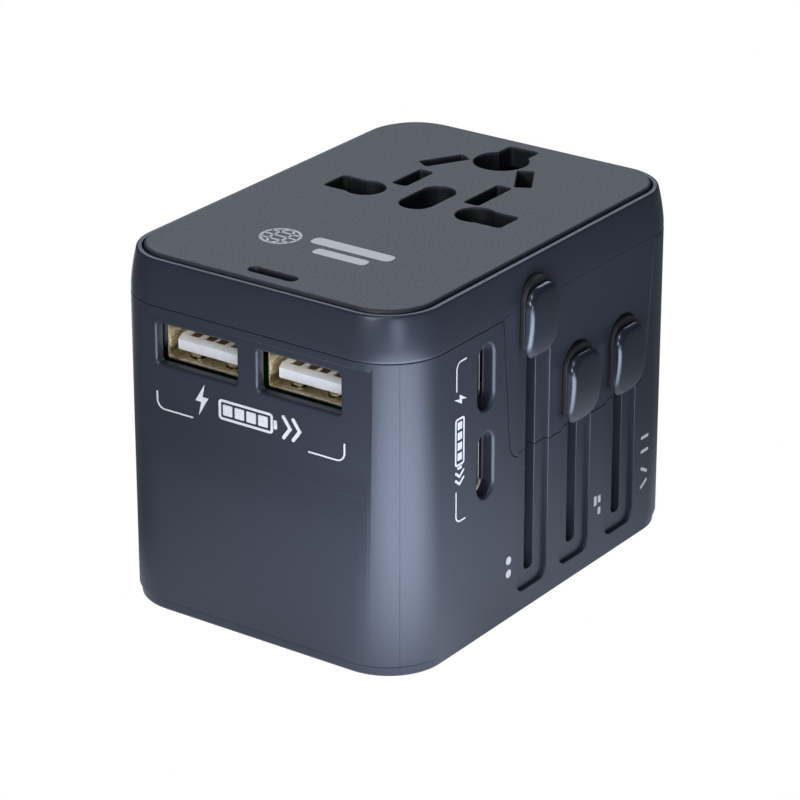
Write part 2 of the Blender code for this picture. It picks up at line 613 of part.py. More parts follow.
# ---- plugs and sliders ------------------------------------------------------------
def make_slider(name, y, z, carrier):
    """A knob cap on a black foot whose stem runs through the slot to its carriage."""
    foot = box(f"{name}_slider", (BODY_X / 2 - CHANNEL_DEPTH + GAP, FOOT_TOP_X),
               around(y, FOOT_WIDTH), around(z, FOOT_HEIGHT), "black_plastic", corner=FOOT_CORNER,
               along="X")
    fuse(foot, box(f"{name}_stem", (RISER_X[1] + GAP, FOOT_TOP_X - 0.3), around(y, STEM_WIDTH),
                   (z - 2.6, z + 2.6)))
    knob = box(f"{name}_knob", (FOOT_TOP_X + GAP, KNOB_FACE_X), around(y, KNOB_WIDTH),
               around(z - KNOB_DROP, KNOB_HEIGHT), "shell_plastic", corner=2.5, along="X",
               steps=5)
    mount_on(carrier, foot, knob)


def make_eu_plug():
    axis = empty("eu_slide_axis", (0, EU_PLUG_Y, EU_FACE_Z))
    body = plate("eu_carriage", eu_outline(0), (EU_FACE_Z, EU_FLANGE_Z[0] + 1), "black_plastic")
    mid = EU_PLUG_Y
    flange = box("eu_flange", EU_FLANGE_X, around(mid, EU_BODY_Y + 0.4), EU_FLANGE_Z, corner=1,
                 steps=2)
    arm = box("eu_arm", (EU_FLANGE_X[1] - 5, RISER_X[1]), EU_ARM_Y, EU_FLANGE_Z)
    riser = box("eu_riser", RISER_X, EU_ARM_Y, (EU_FLANGE_Z[0], EU_RISER_TOP))
    fuse(body, flange, arm, riser)
    places = (("left", -EU_PIN_PITCH / 2), ("right", EU_PIN_PITCH / 2))
    cut(body, joined("eu_pin_bores", *[
        cylinder(f"eu_bore_{side}", (x, mid), (EU_FACE_Z - 1, EU_BORE_TOP), EU_PIN_R + GAP,
                 sides=20) for side, x in places]))
    core, root, sleeve_low = EU_PIN_CORE_R, EU_PIN_ROOT, EU_SLEEVE_Z[0]
    for side, x in places:
        pin = turned(f"eu_pin_{side}",
                     [(0, root), (core, root), (core, sleeve_low - GAP),
                      (EU_PIN_R, sleeve_low - GAP), (EU_PIN_R, EU_PIN_TIP + 1.2),
                      (EU_PIN_R * 0.75, EU_PIN_TIP + 0.35), (EU_PIN_R * 0.35, EU_PIN_TIP),
                      (0, EU_PIN_TIP)], (x, mid, 0), "nickel", sides=20)
        sleeve = cylinder(f"eu_sleeve_{side}", (x, mid), EU_SLEEVE_Z, EU_PIN_R, "black_plastic",
                          sides=20)
        cut(sleeve, cylinder(f"eu_sleeve_bore_{side}", (x, mid), (0, BODY_TOP), core + GAP,
                             sides=20))
        mount_on(axis, pin, sleeve)
    mount_on(axis, body)
    make_slider("eu", EU_Y, EU_KNOB_Z, axis)


def make_uk_plug():
    low, high = CARRIAGE_Z
    axis = empty("uk_slide_axis", (0, UK_PIN_Y, low))
    carriage = plate("uk_carriage", UK_CARRIAGE, CARRIAGE_Z, "black_plastic")
    arm_y = around(UK_Y, ARM_WIDE)
    fuse(carriage, box("uk_arm", (UK_CARRIAGE[0][0] - 1, RISER_X[1]), arm_y, CARRIAGE_Z),
         box("uk_riser", RISER_X, arm_y, (low, LOW_RISER_TOP)))
    roof = high - CARRIAGE_ROOF
    wide, thick = UK_PIN
    pins = (("neutral", -UK_PIN_X), ("line", UK_PIN_X))
    pockets = [box(f"uk_pocket_{name}", around(x, wide + 2 * GAP),
                   around(UK_PIN_Y, thick + 2 * GAP), (low - 1, roof)) for name, x in pins]
    pockets.append(box("uk_earth_pocket", around(0, UK_EARTH[0] + 2 * GAP),
                       around(UK_EARTH_Y, UK_EARTH[1] + 2 * GAP), (low - 1, roof)))
    cut(carriage, joined("uk_pockets", *pockets))
    skin = UK_SLEEVE_SKIN
    for name, x in pins:
        pin = box(f"uk_{name}_pin", around(x, wide), around(UK_PIN_Y, thick),
                  (UK_PIN_TIP, SLEEVE_FROM), "brass")
        fuse(pin, box(f"uk_{name}_core", around(x, wide - 2 * skin),
                      around(UK_PIN_Y, thick - 2 * skin), (SLEEVE_FROM - 1, roof - GAP)))
        sleeve = box(f"uk_{name}_sleeve", around(x, wide), around(UK_PIN_Y, thick),
                     (SLEEVE_FROM + GAP, roof - 1), "black_plastic")
        cut(sleeve, box(f"uk_{name}_sleeve_bore", around(x, wide - 2 * (skin - GAP)),
                        around(UK_PIN_Y, thick - 2 * (skin - GAP)), (0, BODY_TOP)))
        mount_on(axis, pin, sleeve)
    earth = box("uk_earth_pin", around(0, UK_EARTH[0]), around(UK_EARTH_Y, UK_EARTH[1]),
                (UK_EARTH_TIP, roof - GAP), "brass")
    mount_on(axis, earth, carriage)
    make_slider("uk", UK_Y, LOW_KNOB_Z, axis)


def make_us_plug():
    low, high = CARRIAGE_Z
    axis = empty("us_slide_axis", (0, US_PIVOT_Y, low))
    carriage = box("us_carriage", US_CARRIAGE_X, US_CARRIAGE_Y, CARRIAGE_Z, "black_plastic",
                   corner=2, steps=2)
    arm_y = around(US_Y, ARM_WIDE)
    fuse(carriage, box("us_arm", (US_CARRIAGE_X[1] - 1, RISER_X[1]), arm_y, CARRIAGE_Z),
         box("us_riser", RISER_X, arm_y, (low, LOW_RISER_TOP)))
    cut(carriage, joined("hub_bores", *[
        cylinder(f"hub_bore_{i}", (x, US_PIVOT_Y), (low - 1, high + 1), HUB_R + GAP)
        for i, x in enumerate((-US_PIVOT_X, US_PIVOT_X))]))
    mount_on(axis, carriage)
    make_slider("us", US_Y, LOW_KNOB_Z, axis)
    thick, wide = US_BLADE
    for side, x in (("left", -US_PIVOT_X), ("right", US_PIVOT_X)):
        pivot = empty(f"us_twist_{side}_axis", (x, US_PIVOT_Y, low))
        blade_y = US_PIVOT_Y - US_PIVOT_OFFSET
        under, top = HUB_FLANGE_Z
        hub = turned(f"us_hub_{side}", [(0, top), (HUB_FLANGE_R, top), (HUB_FLANGE_R, under),
                                        (HUB_R, under), (HUB_R, low + 0.2), (0, low + 0.2)],
                     (x, US_PIVOT_Y, 0), "black_plastic")
        cut(hub, box(f"blade_slot_{side}", around(x, thick + 2 * GAP),
                     around(blade_y, wide + 2 * GAP), (low - 1, BLADE_SLOT_TOP)))
        blade = box(f"us_blade_{side}", around(x, thick), around(blade_y, wide),
                    (US_BLADE_TIP, BLADE_ROOT), "nickel", corner=0.7, along="X", steps=2)
        mount_on(pivot, hub, blade)
        pivot.parent = axis
        pivot.location -= axis.location


# ---- ports and electronics --------------------------------------------------------
def make_usb_a():
    wide, tall = USB_A_OUTER
    inner_wide, inner_tall = USB_A_INNER
    for side, x in zip(("left", "right"), USB_A_X):
        shell = box(f"usb_a_shell_{side}", around(x, wide), (USB_A_FRONT, USB_A_BACK),
                    around(USB_A_Z, tall), "brass", corner=0.6, along="Y", steps=2)
        cut(shell, box(f"usb_a_bore_{side}", around(x, inner_wide),
                       (USB_A_FRONT - 1, USB_A_BACK - GAP), around(USB_A_Z, inner_tall)))
        box(f"usb_a_tongue_{side}", around(x, USB_A_TONGUE_WIDE),
            (USB_A_TONGUE_FRONT, USB_A_BACK - 2 * GAP), USB_A_TONGUE_Z, "white_plastic")
        contacts = box(f"usb_a_contacts_{side}", around(x, USB_A_COMB_WIDE), USB_A_COMB_Y,
                       USB_A_FINGER_Z, "brass")
        fuse(contacts, joined(f"usb_a_fingers_{side}", *[
            box(f"usb_a_finger_{side}_{i}", around(x + offset, USB_A_FINGER_WIDE), USB_A_FINGER_Y,
                USB_A_FINGER_Z) for i, offset in enumerate(USB_A_FINGER_X)]))


def make_usb_c():
    wide, tall = USB_C_OUTER
    inner_wide, inner_tall = USB_C_INNER
    for place, z in zip(("upper", "lower"), USB_C_Z):
        shell = box(f"usb_c_shell_{place}", (USB_C_BACK, USB_C_FRONT), around(USB_C_Y, wide),
                    around(z, tall), "nickel", corner=wide / 2 - 0.02, along="X", steps=5)
        cut(shell, box(f"usb_c_bore_{place}", (USB_C_BACK + GAP, USB_C_FRONT + 1),
                       around(USB_C_Y, inner_wide), around(z, inner_tall),
                       corner=inner_wide / 2 - 0.02, along="X", steps=5))
        thick, long = USB_C_TONGUE
        box(f"usb_c_tongue_{place}", (USB_C_BACK + 2 * GAP, USB_C_TONGUE_FRONT),
            around(USB_C_Y, thick), around(z, long), "black_plastic")


def make_electronics():
    for name, spans in BOARDS.items():
        box(name, *spans, "circuit_board")
    core = box("transformer_core", *CORE, "ferrite")
    window_x, window_z = CORE_WINDOW
    cut(core, box("core_window", window_x, (-BODY_Y / 2, 0), window_z))
    box("transformer_winding", *WINDING, "winding_tape", corner=1.5, along="Z", steps=3)
    for name, (at, z, radius) in CAPACITORS.items():
        cylinder(name, at, z, radius, "capacitor_sleeve")
    box("led", *LED, "white_plastic")
    window = stadium(around(LED_SLOT_AT[0], LED_SLOT[0] - 2 * GAP),
                     around(LED_SLOT_AT[1], LED_SLOT[1] - 2 * GAP))
    plate("led_window", window, (LEDGE_Z + GAP, LED_WINDOW_TOP), "lens_plastic")


def make_fuse():
    """The fuse, and the bar that carries it with two sprung clips."""
    x, z = FUSE_AT
    cylinder("fuse", FUSE_AT, FUSE_Y, FUSE_R, "white_plastic", along="Y", sides=20)
    angles = [radians(a) for a in range(150, 391, 30)]
    inner, outer = [[(x + r * cos(a), z + r * sin(a)) for a in angles] for r in CLIP_R]
    holder = box("fuse_holder", around(x, FUSE_BAR_WIDE), FUSE_Y, FUSE_BAR_Z, "brass")
    fuse(holder, *[plate(f"fuse_clip_{i}", outer + inner[::-1], around(y, CLIP_WIDE), along="Y")
                   for i, y in enumerate(CLIP_Y)])


# ---- the whole adapter ------------------------------------------------------------
def main():
    make_top_shell()
    make_front_shell()
    make_rear_shell()
    make_base_plate()
    make_base_screws()
    make_socket_panel()
    make_contact_block()
    make_block_screws()
    make_contacts()
    make_shutter()
    make_eu_plug()
    make_uk_plug()
    make_us_plug()
    make_usb_a()
    make_usb_c()
    make_electronics()
    make_fuse()


main()
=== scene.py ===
"""The looks of the universal travel adapter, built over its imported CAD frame.

Lengths are in mm and MM turns them into metres. The sliders are on +X, the USB-A ports on -Y
and the socket face on +Z.
"""

import json
from math import atan2, cos, pi, radians, sin, tan

import bmesh
import bpy
from mathutils import Matrix, Vector


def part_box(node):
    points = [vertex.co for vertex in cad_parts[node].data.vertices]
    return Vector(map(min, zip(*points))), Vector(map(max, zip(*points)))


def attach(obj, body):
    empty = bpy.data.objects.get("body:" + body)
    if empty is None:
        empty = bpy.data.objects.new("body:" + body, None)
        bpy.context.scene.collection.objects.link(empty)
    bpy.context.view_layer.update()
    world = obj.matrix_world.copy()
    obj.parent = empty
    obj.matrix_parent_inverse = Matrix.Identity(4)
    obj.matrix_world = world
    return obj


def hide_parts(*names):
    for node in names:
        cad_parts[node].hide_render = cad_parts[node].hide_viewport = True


MM = 0.001
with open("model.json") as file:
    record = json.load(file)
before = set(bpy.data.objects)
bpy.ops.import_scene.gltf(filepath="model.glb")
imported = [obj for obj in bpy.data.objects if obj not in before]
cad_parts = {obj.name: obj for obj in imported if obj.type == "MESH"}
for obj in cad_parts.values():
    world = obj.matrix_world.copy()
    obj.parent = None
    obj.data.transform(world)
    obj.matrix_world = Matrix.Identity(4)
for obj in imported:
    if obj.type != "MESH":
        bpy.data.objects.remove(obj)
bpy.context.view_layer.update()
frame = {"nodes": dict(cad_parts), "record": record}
SCENE = bpy.context.scene
SLOTS = {part["node"]: part["material_slot"] for part in frame["record"]["subparts"]}


def span(node, axis):
    """A CAD node's extent along one axis, in mm."""
    low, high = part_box(node)
    return low["XYZ".index(axis)] / MM, high["XYZ".index(axis)] / MM


def spans(node):
    return [span(node, axis) for axis in "XYZ"]


def middle(node, axis):
    return sum(span(node, axis)) / 2


# ---- sizes
FACE_X = span("top_shell", "X")[1]
FACE_Y = span("top_shell", "Y")[1]
CAD_HALF_GAP = 0.15              # half the frame's gap between two shells
SEAM = 0.025                     # half the gap that is drawn between them
SPLIT = span("front_shell", "Z")[1] + CAD_HALF_GAP
BASE_HIGH = 1.5
CORNER = 9.0
SHELL_WALL = 2.0
LEDGE = 49.5                     # what the socket panel lies on
PANEL_TOP = span("socket_panel", "Z")[1] - 0.02
PANEL_INSET = FACE_X - span("socket_panel", "X")[1]
CHANNEL_FLOOR = FACE_X - 0.6
RECESS_DEPTH, RECESS_TOP = 0.58, 44.86
RECESS_FULL, RECESS_END = 33.0, 20.5    # the recess fades out between these heights
RECESS_Y = -FACE_Y + RECESS_DEPTH
POST_X, POST_Y = 19.2, 29.2
POSTS = [(POST_X, POST_Y), (-POST_X, POST_Y), (-POST_X, -POST_Y), (POST_X, -POST_Y)]


# ---- materials
NOISE_LOW, NOISE_HIGH = 0.3, 0.7        # the noise values that a range or ramp is spread over
BLUE_SHEEN = (0.80, 0.88, 1.0, 1.0)
HOLE_DARK, HOLE_LIT = 52.35, 52.7       # painted shade: the panel's openings are darkened below the first height, fading out by the second


def add_node(tree, kind, operation=None, **inputs):
    """A shader node with its inputs set, each to a value or linked to another node's output."""
    node = tree.nodes.new("ShaderNode" + kind)
    if operation:
        node.operation = operation
    for name, value in inputs.items():
        socket = node.inputs[name.replace("_", " ")]
        if isinstance(value, bpy.types.NodeSocket):
            tree.links.new(value, socket)
        else:
            socket.default_value = value
    return node


class Paint:
    """One procedural finish: a Principled shader fed by object-space noise."""

    def __init__(self, name):
        self.made = bpy.data.materials.new(name)
        self.made.use_nodes = True
        self.tree = self.made.node_tree
        self.shader = self.tree.nodes["Principled BSDF"]
        self.place = self.add("TexCoord").outputs["Object"]

    def add(self, *kind, **inputs):
        return add_node(self.tree, *kind, **inputs)

    def noise(self, scale, detail=2.0, stretch=None):
        place = self.place
        if stretch:
            place = self.add("Mapping", Scale=stretch, Vector=place).outputs["Vector"]
        return self.add("TexNoise", Scale=scale, Detail=detail, Vector=place).outputs["Fac"]

    def range(self, source, low, high, start=NOISE_LOW, end=NOISE_HIGH):
        return self.add("MapRange", Value=source, From_Min=start, From_Max=end, To_Min=low, To_Max=high)

    def color(self, low, high, scale, detail=2.0, stretch=None):
        node = self.add("ValToRGB", Fac=self.noise(scale, detail, stretch))
        for element, at, end in zip(node.color_ramp.elements, (NOISE_LOW, NOISE_HIGH), (low, high)):
            element.position, element.color = at, (*end, 1)
        self.tree.links.new(node.outputs["Color"], self.shader.inputs["Base Color"])
        return self

    def rough(self, low, high, scale, stretch=None):
        value = self.range(self.noise(scale, 2.0, stretch), low, high).outputs["Result"]
        self.tree.links.new(value, self.shader.inputs["Roughness"])
        return self

    def bump(self, scale, height, strength=1.0, detail=2.0, stretch=None):
        source = self.noise(scale, detail, stretch)
        node = self.add("Bump", Strength=strength, Distance=height * MM, Height=source)
        self.tree.links.new(node.outputs["Normal"], self.shader.inputs["Normal"])
        return self

    def sink(self, low, high, share):
        """Paint shade into the colour below a height, where light hardly reaches."""
        up = self.add("SeparateXYZ", Vector=self.place).outputs["Z"]
        fade = self.range(up, share, 1.0, low * MM, high * MM).outputs["Result"]
        socket = self.shader.inputs["Base Color"]
        scale = self.add("VectorMath", "SCALE", Vector=socket.links[0].from_socket, Scale=fade)
        self.tree.links.new(scale.outputs["Vector"], socket)
        return self

    def set(self, **values):
        for name, value in values.items():
            self.shader.inputs[name.replace("_", " ")].default_value = value
        return self


def make_looks():
    looks = {}

    def look(name, title, low, high, scale, detail=2.0, stretch=None):
        looks[name] = Paint(title).color(low, high, scale, detail, stretch)
        return looks[name]

    shell = look("shell_plastic", "shell_satin", (0.022, 0.026, 0.037), (0.034, 0.039, 0.055), 7000, 3)
    shell.rough(0.30, 0.37, 5000).bump(6500, 0.006, 0.35)
    shell.set(Metallic=0.2, Specular_IOR_Level=0.6, Specular_Tint=BLUE_SHEEN)
    knob = look("knob_paint", "knob_satin", (0.010, 0.012, 0.018), (0.018, 0.021, 0.030), 7000, 3)
    knob.rough(0.22, 0.28, 5000).bump(6500, 0.006, 0.3)
    knob.set(Metallic=0.1, Specular_IOR_Level=1.0, Specular_Tint=BLUE_SHEEN)
    panel = look("panel_plastic", "panel_texture", (0.019, 0.022, 0.030), (0.040, 0.045, 0.058), 4200, 3)
    # painted shade darkens the walls of the panel's openings
    panel.sink(HOLE_DARK, HOLE_LIT, 0.25).rough(0.42, 0.62, 3800).bump(3800, 0.02, 0.6, 3)
    black = look("black_plastic", "black_matt", (0.006, 0.006, 0.007), (0.012, 0.012, 0.013), 3000)
    black.rough(0.45, 0.6, 2500).bump(3500, 0.008, 0.4)
    white = look("white_plastic", "white_moulded", (0.80, 0.82, 0.87), (0.85, 0.87, 0.92), 900)
    white.rough(0.32, 0.42, 1500).bump(2500, 0.004, 0.2)
    white.set(Subsurface_Weight=0.1, Subsurface_Scale=0.0004)
    brass = look("brass", "gold_plate", (0.84, 0.72, 0.50), (0.94, 0.84, 0.63), 700)
    brass.rough(0.24, 0.36, 900, (1, 1, 6)).set(Metallic=1.0)
    # the contacts' gold, darkened with painted shade that stands in for the shadows between them
    contact = look("gold_with_painted_shade", "gold_with_painted_shade", (0.20, 0.14, 0.075), (0.30, 0.21, 0.12), 700)
    contact.rough(0.3, 0.4, 900).set(Metallic=0.9)
    nickel = look("nickel", "nickel_plate", (0.60, 0.58, 0.55), (0.70, 0.69, 0.66), 600)
    nickel.rough(0.16, 0.26, 800, (6, 6, 1)).set(Metallic=1.0)
    steel = look("steel", "zinc_steel", (0.42, 0.43, 0.44), (0.56, 0.57, 0.58), 1200)
    steel.rough(0.28, 0.42, 1500).set(Metallic=1.0)
    board = look("circuit_board", "solder_mask", (0.012, 0.085, 0.035), (0.022, 0.13, 0.055), 260, 4)
    board.rough(0.3, 0.45, 600).bump(420, 0.02, 0.5)
    ferrite = look("ferrite", "ferrite_sintered", (0.018, 0.018, 0.020), (0.035, 0.035, 0.037), 1800, 4)
    ferrite.rough(0.6, 0.8, 1500).bump(2200, 0.03, 0.7)
    tape = look("winding_tape", "winding_tape", (0.50, 0.33, 0.04), (0.62, 0.42, 0.06), 500, 2, (1, 1, 14))
    tape.rough(0.3, 0.45, 700).bump(420, 0.03, 0.6, 2, (1, 1, 16))
    sleeve = look("capacitor_sleeve", "capacitor_sleeve", (0.012, 0.014, 0.05), (0.02, 0.024, 0.07), 500)
    sleeve.rough(0.22, 0.34, 800).bump(600, 0.01, 0.3)
    lens = look("lens_plastic", "smoked_lens", (0.010, 0.010, 0.011), (0.018, 0.018, 0.020), 900)
    lens.rough(0.10, 0.18, 900).set(Coat_Weight=0.5, Coat_Roughness=0.08)
    look("ink", "print_ink", (0.58, 0.59, 0.61), (0.66, 0.67, 0.69), 3000).rough(0.4, 0.5, 2500)
    return {name: paint.made for name, paint in looks.items()}


LOOKS = make_looks()


# ---- outlines, in mm
def rounded(corners, steps=8):
    """An outline with its corners rounded: each corner is (u, v) or (u, v, radius)."""
    points = []
    for i, corner in enumerate(corners):
        here = Vector(corner[:2])
        radius = corner[2] if len(corner) > 2 else 0.0
        if not radius:
            points.append(here)
            continue
        back = (Vector(corners[i - 1][:2]) - here).normalized()
        ahead = (Vector(corners[(i + 1) % len(corners)][:2]) - here).normalized()
        half = back.angle(ahead) / 2
        centre = here + (back + ahead).normalized() * (radius / sin(half))
        first = here + back * (radius / tan(half)) - centre
        last = here + ahead * (radius / tan(half)) - centre
        sweep = atan2(first.x * last.y - first.y * last.x, first.dot(last))
        start = atan2(first.y, first.x)
        for k in range(steps + 1):
            angle = start + sweep * k / steps
            points.append(centre + radius * Vector((cos(angle), sin(angle))))
    return points


def around(centre, size):
    return centre - size / 2, centre + size / 2


def block(u, v, radius=0.0, steps=8):
    """A rounded rectangle over two spans, counter-clockwise."""
    (u0, u1), (v0, v1) = u, v
    radius = min(radius, (u1 - u0) / 2 - 0.005, (v1 - v0) / 2 - 0.005)
    return rounded([(u0, v0, radius), (u1, v0, radius), (u1, v1, radius), (u0, v1, radius)], steps)


def circle(at, radius, steps=32):
    angles = [2 * pi * k / steps for k in range(steps)]
    return [Vector(at) + radius * Vector((cos(a), sin(a))) for a in angles]


def quarter(radius, steps):
    """A rounded edge as (inward, below the face) steps, from its side up to its face."""
    angles = [radians(90 * k / steps) for k in range(steps + 1)]
    return [(radius * (1 - cos(a)), radius * (1 - sin(a))) for a in angles]


def turned_by(outline, angle, about):
    turn, about = Matrix.Rotation(angle, 2), Vector(about)
    return [turn @ (Vector(p) - about) + about for p in outline]


def grown(outline, by):
    """A counter-clockwise outline, moved outward by a distance."""
    points = []
    for i, here in enumerate(outline):
        before, after = Vector(outline[i - 1]), Vector(outline[(i + 1) % len(outline)])
        here = Vector(here)
        into, out = (here - before).normalized(), (after - here).normalized()
        normal_in, normal_out = Vector((into.y, -into.x)), Vector((out.y, -out.x))
        mean = (normal_in + normal_out).normalized()
        points.append(here + mean * (by / max(0.3, mean.dot(normal_in))))
    return points


def body_outline(inset, steps=20):
    x, y = FACE_X - inset, FACE_Y - inset
    return block((-x, x), (-y, y), CORNER - inset, steps)


# ---- meshes
PLACE = {
    "Z": lambda u, v, w: Vector((u, v, w)),
    "X": lambda u, v, w: Vector((w, u, v)),
    "Y": lambda u, v, w: Vector((u, w, v)),
}
OFF_FACE = 0.004                 # keeps a cutter's rounded edge just clear of the face it opens


def new_object(name, bm, look=None):
    mesh = bpy.data.meshes.new(name)
    bmesh.ops.recalc_face_normals(bm, faces=bm.faces)
    bm.to_mesh(mesh)
    bm.free()
    obj = bpy.data.objects.new(name, mesh)
    SCENE.collection.objects.link(obj)
    if look:
        mesh.materials.append(LOOKS[look])
    return obj


def loft(name, rings, look=None, closed=False):
    """Rings of points, all with the same count, joined one to the next, or in a circle if closed."""
    bm = bmesh.new()
    rows = [[bm.verts.new(Vector(p) * MM) for p in ring] for ring in rings]
    pairs = list(zip(rows, rows[1:])) + ([(rows[-1], rows[0])] if closed else [])
    for a, b in pairs:
        for i in range(len(a)):
            j = (i + 1) % len(a)
            bm.faces.new((a[i], a[j], b[j], b[i]))
    if not closed:
        bm.faces.new(rows[0][::-1])
        bm.faces.new(rows[-1])
    return new_object(name, bm, look)


def body_loft(name, levels, closed=False):
    """The body's outline at several (inset, height) levels."""
    return loft(name, [[(u, v, z) for u, v in body_outline(inset)] for inset, z in levels], closed=closed)


def stack(name, outline, levels, along="Z", look=None, closed=False):
    """An outline at several (growth, position) levels."""
    put = PLACE[along]
    return loft(name, [[put(u, v, w) for u, v in grown(outline, by)] for by, w in levels], look, closed)


def slab(name, outline, ends, along="Z", look=None, edge=0.0, both=True):
    """An outline extruded over a span, its end edges rounded by `edge`, or the high one alone."""
    low, high = ends
    if not edge:
        return stack(name, outline, [(0, low), (0, high)], along, look)
    arc = [(-inward, deeper) for inward, deeper in quarter(edge, 3)]
    levels = [(by, low + depth) for by, depth in reversed(arc)] if both else [(0, low)]
    return stack(name, outline, levels + [(by, high - depth) for by, depth in arc], along, look)


def flared(name, outline, deep, face, flare, along="Z", steps=3, out=1.5):
    """A cutter that rounds the edge of the opening it makes in a face."""
    sign = 1 if face > deep else -1
    arc = [(by, face + sign * (OFF_FACE - depth)) for by, depth in quarter(flare, steps)]
    return stack(name, outline, [(0, deep)] + arc + [(flare + 0.02, face + sign * out)], along)


def bake(obj):
    bpy.context.view_layer.update()
    made = bpy.data.meshes.new_from_object(obj.evaluated_get(bpy.context.evaluated_depsgraph_get()))
    old = obj.data
    obj.modifiers.clear()
    obj.data = made
    bpy.data.meshes.remove(old)
    made.name = obj.name
    return obj


def combine(obj, operation, tools):
    for tool in tools:
        step = obj.modifiers.new("step", "BOOLEAN")
        step.operation, step.solver, step.object = operation, "EXACT", tool
    bake(obj)
    for tool in tools:
        bpy.data.objects.remove(tool)
    return obj


def cut(obj, *tools):
    return combine(obj, "DIFFERENCE", tools)


def soften(obj, width, limit):
    step = obj.modifiers.new("edge", "BEVEL")
    step.width, step.segments = width * MM, 2
    step.limit_method, step.angle_limit = "ANGLE", radians(limit)
    step.use_clamp_overlap = True
    return bake(obj)


def shade(obj, sharp=38):
    """Smooth shading whose flat faces stay flat."""
    mesh = obj.data
    mesh.polygons.foreach_set("use_smooth", [True] * len(mesh.polygons))
    mesh.set_sharp_from_angle(angle=radians(sharp))
    step = obj.modifiers.new("normals", "WEIGHTED_NORMAL")
    step.keep_sharp = True
    step.weight = 100
    return bake(obj)


def keep(obj, slot, *nodes, body="housing", sharp=38):
    """A finished piece: it rides on a body and stands for CAD nodes. It takes its slot's look
    unless it was made with another."""
    shade(obj, sharp)
    if not obj.data.materials:
        obj.data.materials.append(LOOKS[slot])
    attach(obj, body)
    if nodes:
        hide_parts(*nodes)
    return obj


def lathe(name, profile, at, sides=48, along="Z"):
    """A turned piece: (radius, height) points, first and last on the axis."""
    bm = bmesh.new()
    rows = []
    for radius, height in profile:
        if radius < 1e-6:
            rows.append([bm.verts.new(PLACE[along](at[0], at[1], height) * MM)])
        else:
            ring = [PLACE[along](u, v, height) * MM for u, v in circle(at, radius, sides)]
            rows.append([bm.verts.new(point) for point in ring])
    for a, b in zip(rows, rows[1:]):
        for i in range(sides):
            j = (i + 1) % sides
            if len(a) == 1 and len(b) > 1:
                bm.faces.new((a[0], b[j], b[i]))
            elif len(b) == 1 and len(a) > 1:
                bm.faces.new((a[i], a[j], b[0]))
            elif len(a) > 1:
                bm.faces.new((a[i], a[j], b[j], b[i]))
    return new_object(name, bm)


def stroke(path, width, round_ends=True):
    """The outline of a line drawn along a path."""
    half = width / 2
    left, right = [], []
    given, path = [Vector(p) for p in path], []
    for point in given:
        if not path or (point - path[-1]).length > 0.01:
            path.append(point)
    for i, here in enumerate(path):
        into = (here - path[i - 1]).normalized() if i else None
        out = (path[i + 1] - here).normalized() if i + 1 < len(path) else None
        into, out = into or out, out or into
        mean = (into + out).normalized()
        side = Vector((-mean.y, mean.x)) * (half / max(0.35, mean.dot(out)))
        left.append(here + side)
        right.append(here - side)
    if round_ends:
        first, last = path[0] - path[1], path[-1] - path[-2]
        caps = []
        for at, way in ((path[-1], last), (path[0], first)):
            start = atan2(way.y, way.x) - pi / 2
            turns = [start + pi * k / 6 for k in range(1, 6)]
            caps.append([at + half * Vector((cos(a), sin(a))) for a in turns])
        return right + caps[0] + left[::-1] + caps[1]
    return right + left[::-1]


def arc_path(centre, radius, start, end, steps=10):
    angles = [radians(start + (end - start) * k / steps) for k in range(steps + 1)]
    return [Vector(centre) + radius * Vector((cos(a), sin(a))) for a in angles]


# ---- sliders: where each one is
class Slider:
    """A plug's slider: its body's name, where its knob is, and the top of its channel."""

    def __init__(self, name, arch):
        self.name, self.body = name, name + "_plug"
        self.y = middle(name + "_knob", "Y")
        self.z = middle(name + "_slider", "Z")
        self.arch = arch


SLIDERS = [Slider("eu", 50.4), Slider("uk", 37.0), Slider("us", 37.0)]
CHANNEL_LOW, CHANNEL_HALF, CHANNEL_FOOT, CHANNEL_FLARE = 3.5, 3.8, 1.7, 0.14
SLOT_LOW, SLOT_HALF, SLOT_OVER, SLOT_FLARE = 6.0, 1.1, 2.9, 0.1


def slider_cutters(owner):
    """Each slider's channel, with an arched top, and the slot in its floor."""
    tools = []
    arch_radius = CHANNEL_HALF - 0.01
    for s in SLIDERS:
        low, high = s.y - CHANNEL_HALF, s.y + CHANNEL_HALF
        feet = [(low, CHANNEL_LOW, CHANNEL_FOOT), (high, CHANNEL_LOW, CHANNEL_FOOT)]
        channel = rounded(feet + [(high, s.arch, arch_radius), (low, s.arch, arch_radius)], 12)
        name = f"{owner}_{s.name}"
        tools.append(flared(name + "_channel", channel, CHANNEL_FLOOR, FACE_X, CHANNEL_FLARE, "X"))
        slot = block(around(s.y, 2 * SLOT_HALF), (SLOT_LOW, s.z + SLOT_OVER), 0.8, 5)
        tools.append(flared(name + "_slot", slot, FACE_X - 5, CHANNEL_FLOOR, SLOT_FLARE, "X", out=0.3))
    return tools


# ---- shells
RING_LOW = SPLIT + SEAM
TONGUE_TOP, TONGUE_BOTTOM, TONGUE_LOW, TONGUE_ROUND = (-12.2, 26.5), (-10.1, 24.1), 24.7, 2.5
TONGUE_HIGH, TONGUE_INTO_RING = 47, 46.44     # where its top width is measured, and where it ends
RIM_FROM, RIM_RISE, RIM_LEAN = 46.5, 5.9, 0.95
RIM_HEIGHTS = (47.2, 47.9, 48.6, 49.3, 50.0, 50.6, 51.2, 51.7, 52.15)
RIM_ANGLE, RIM_RADIUS = 16.0, 0.47


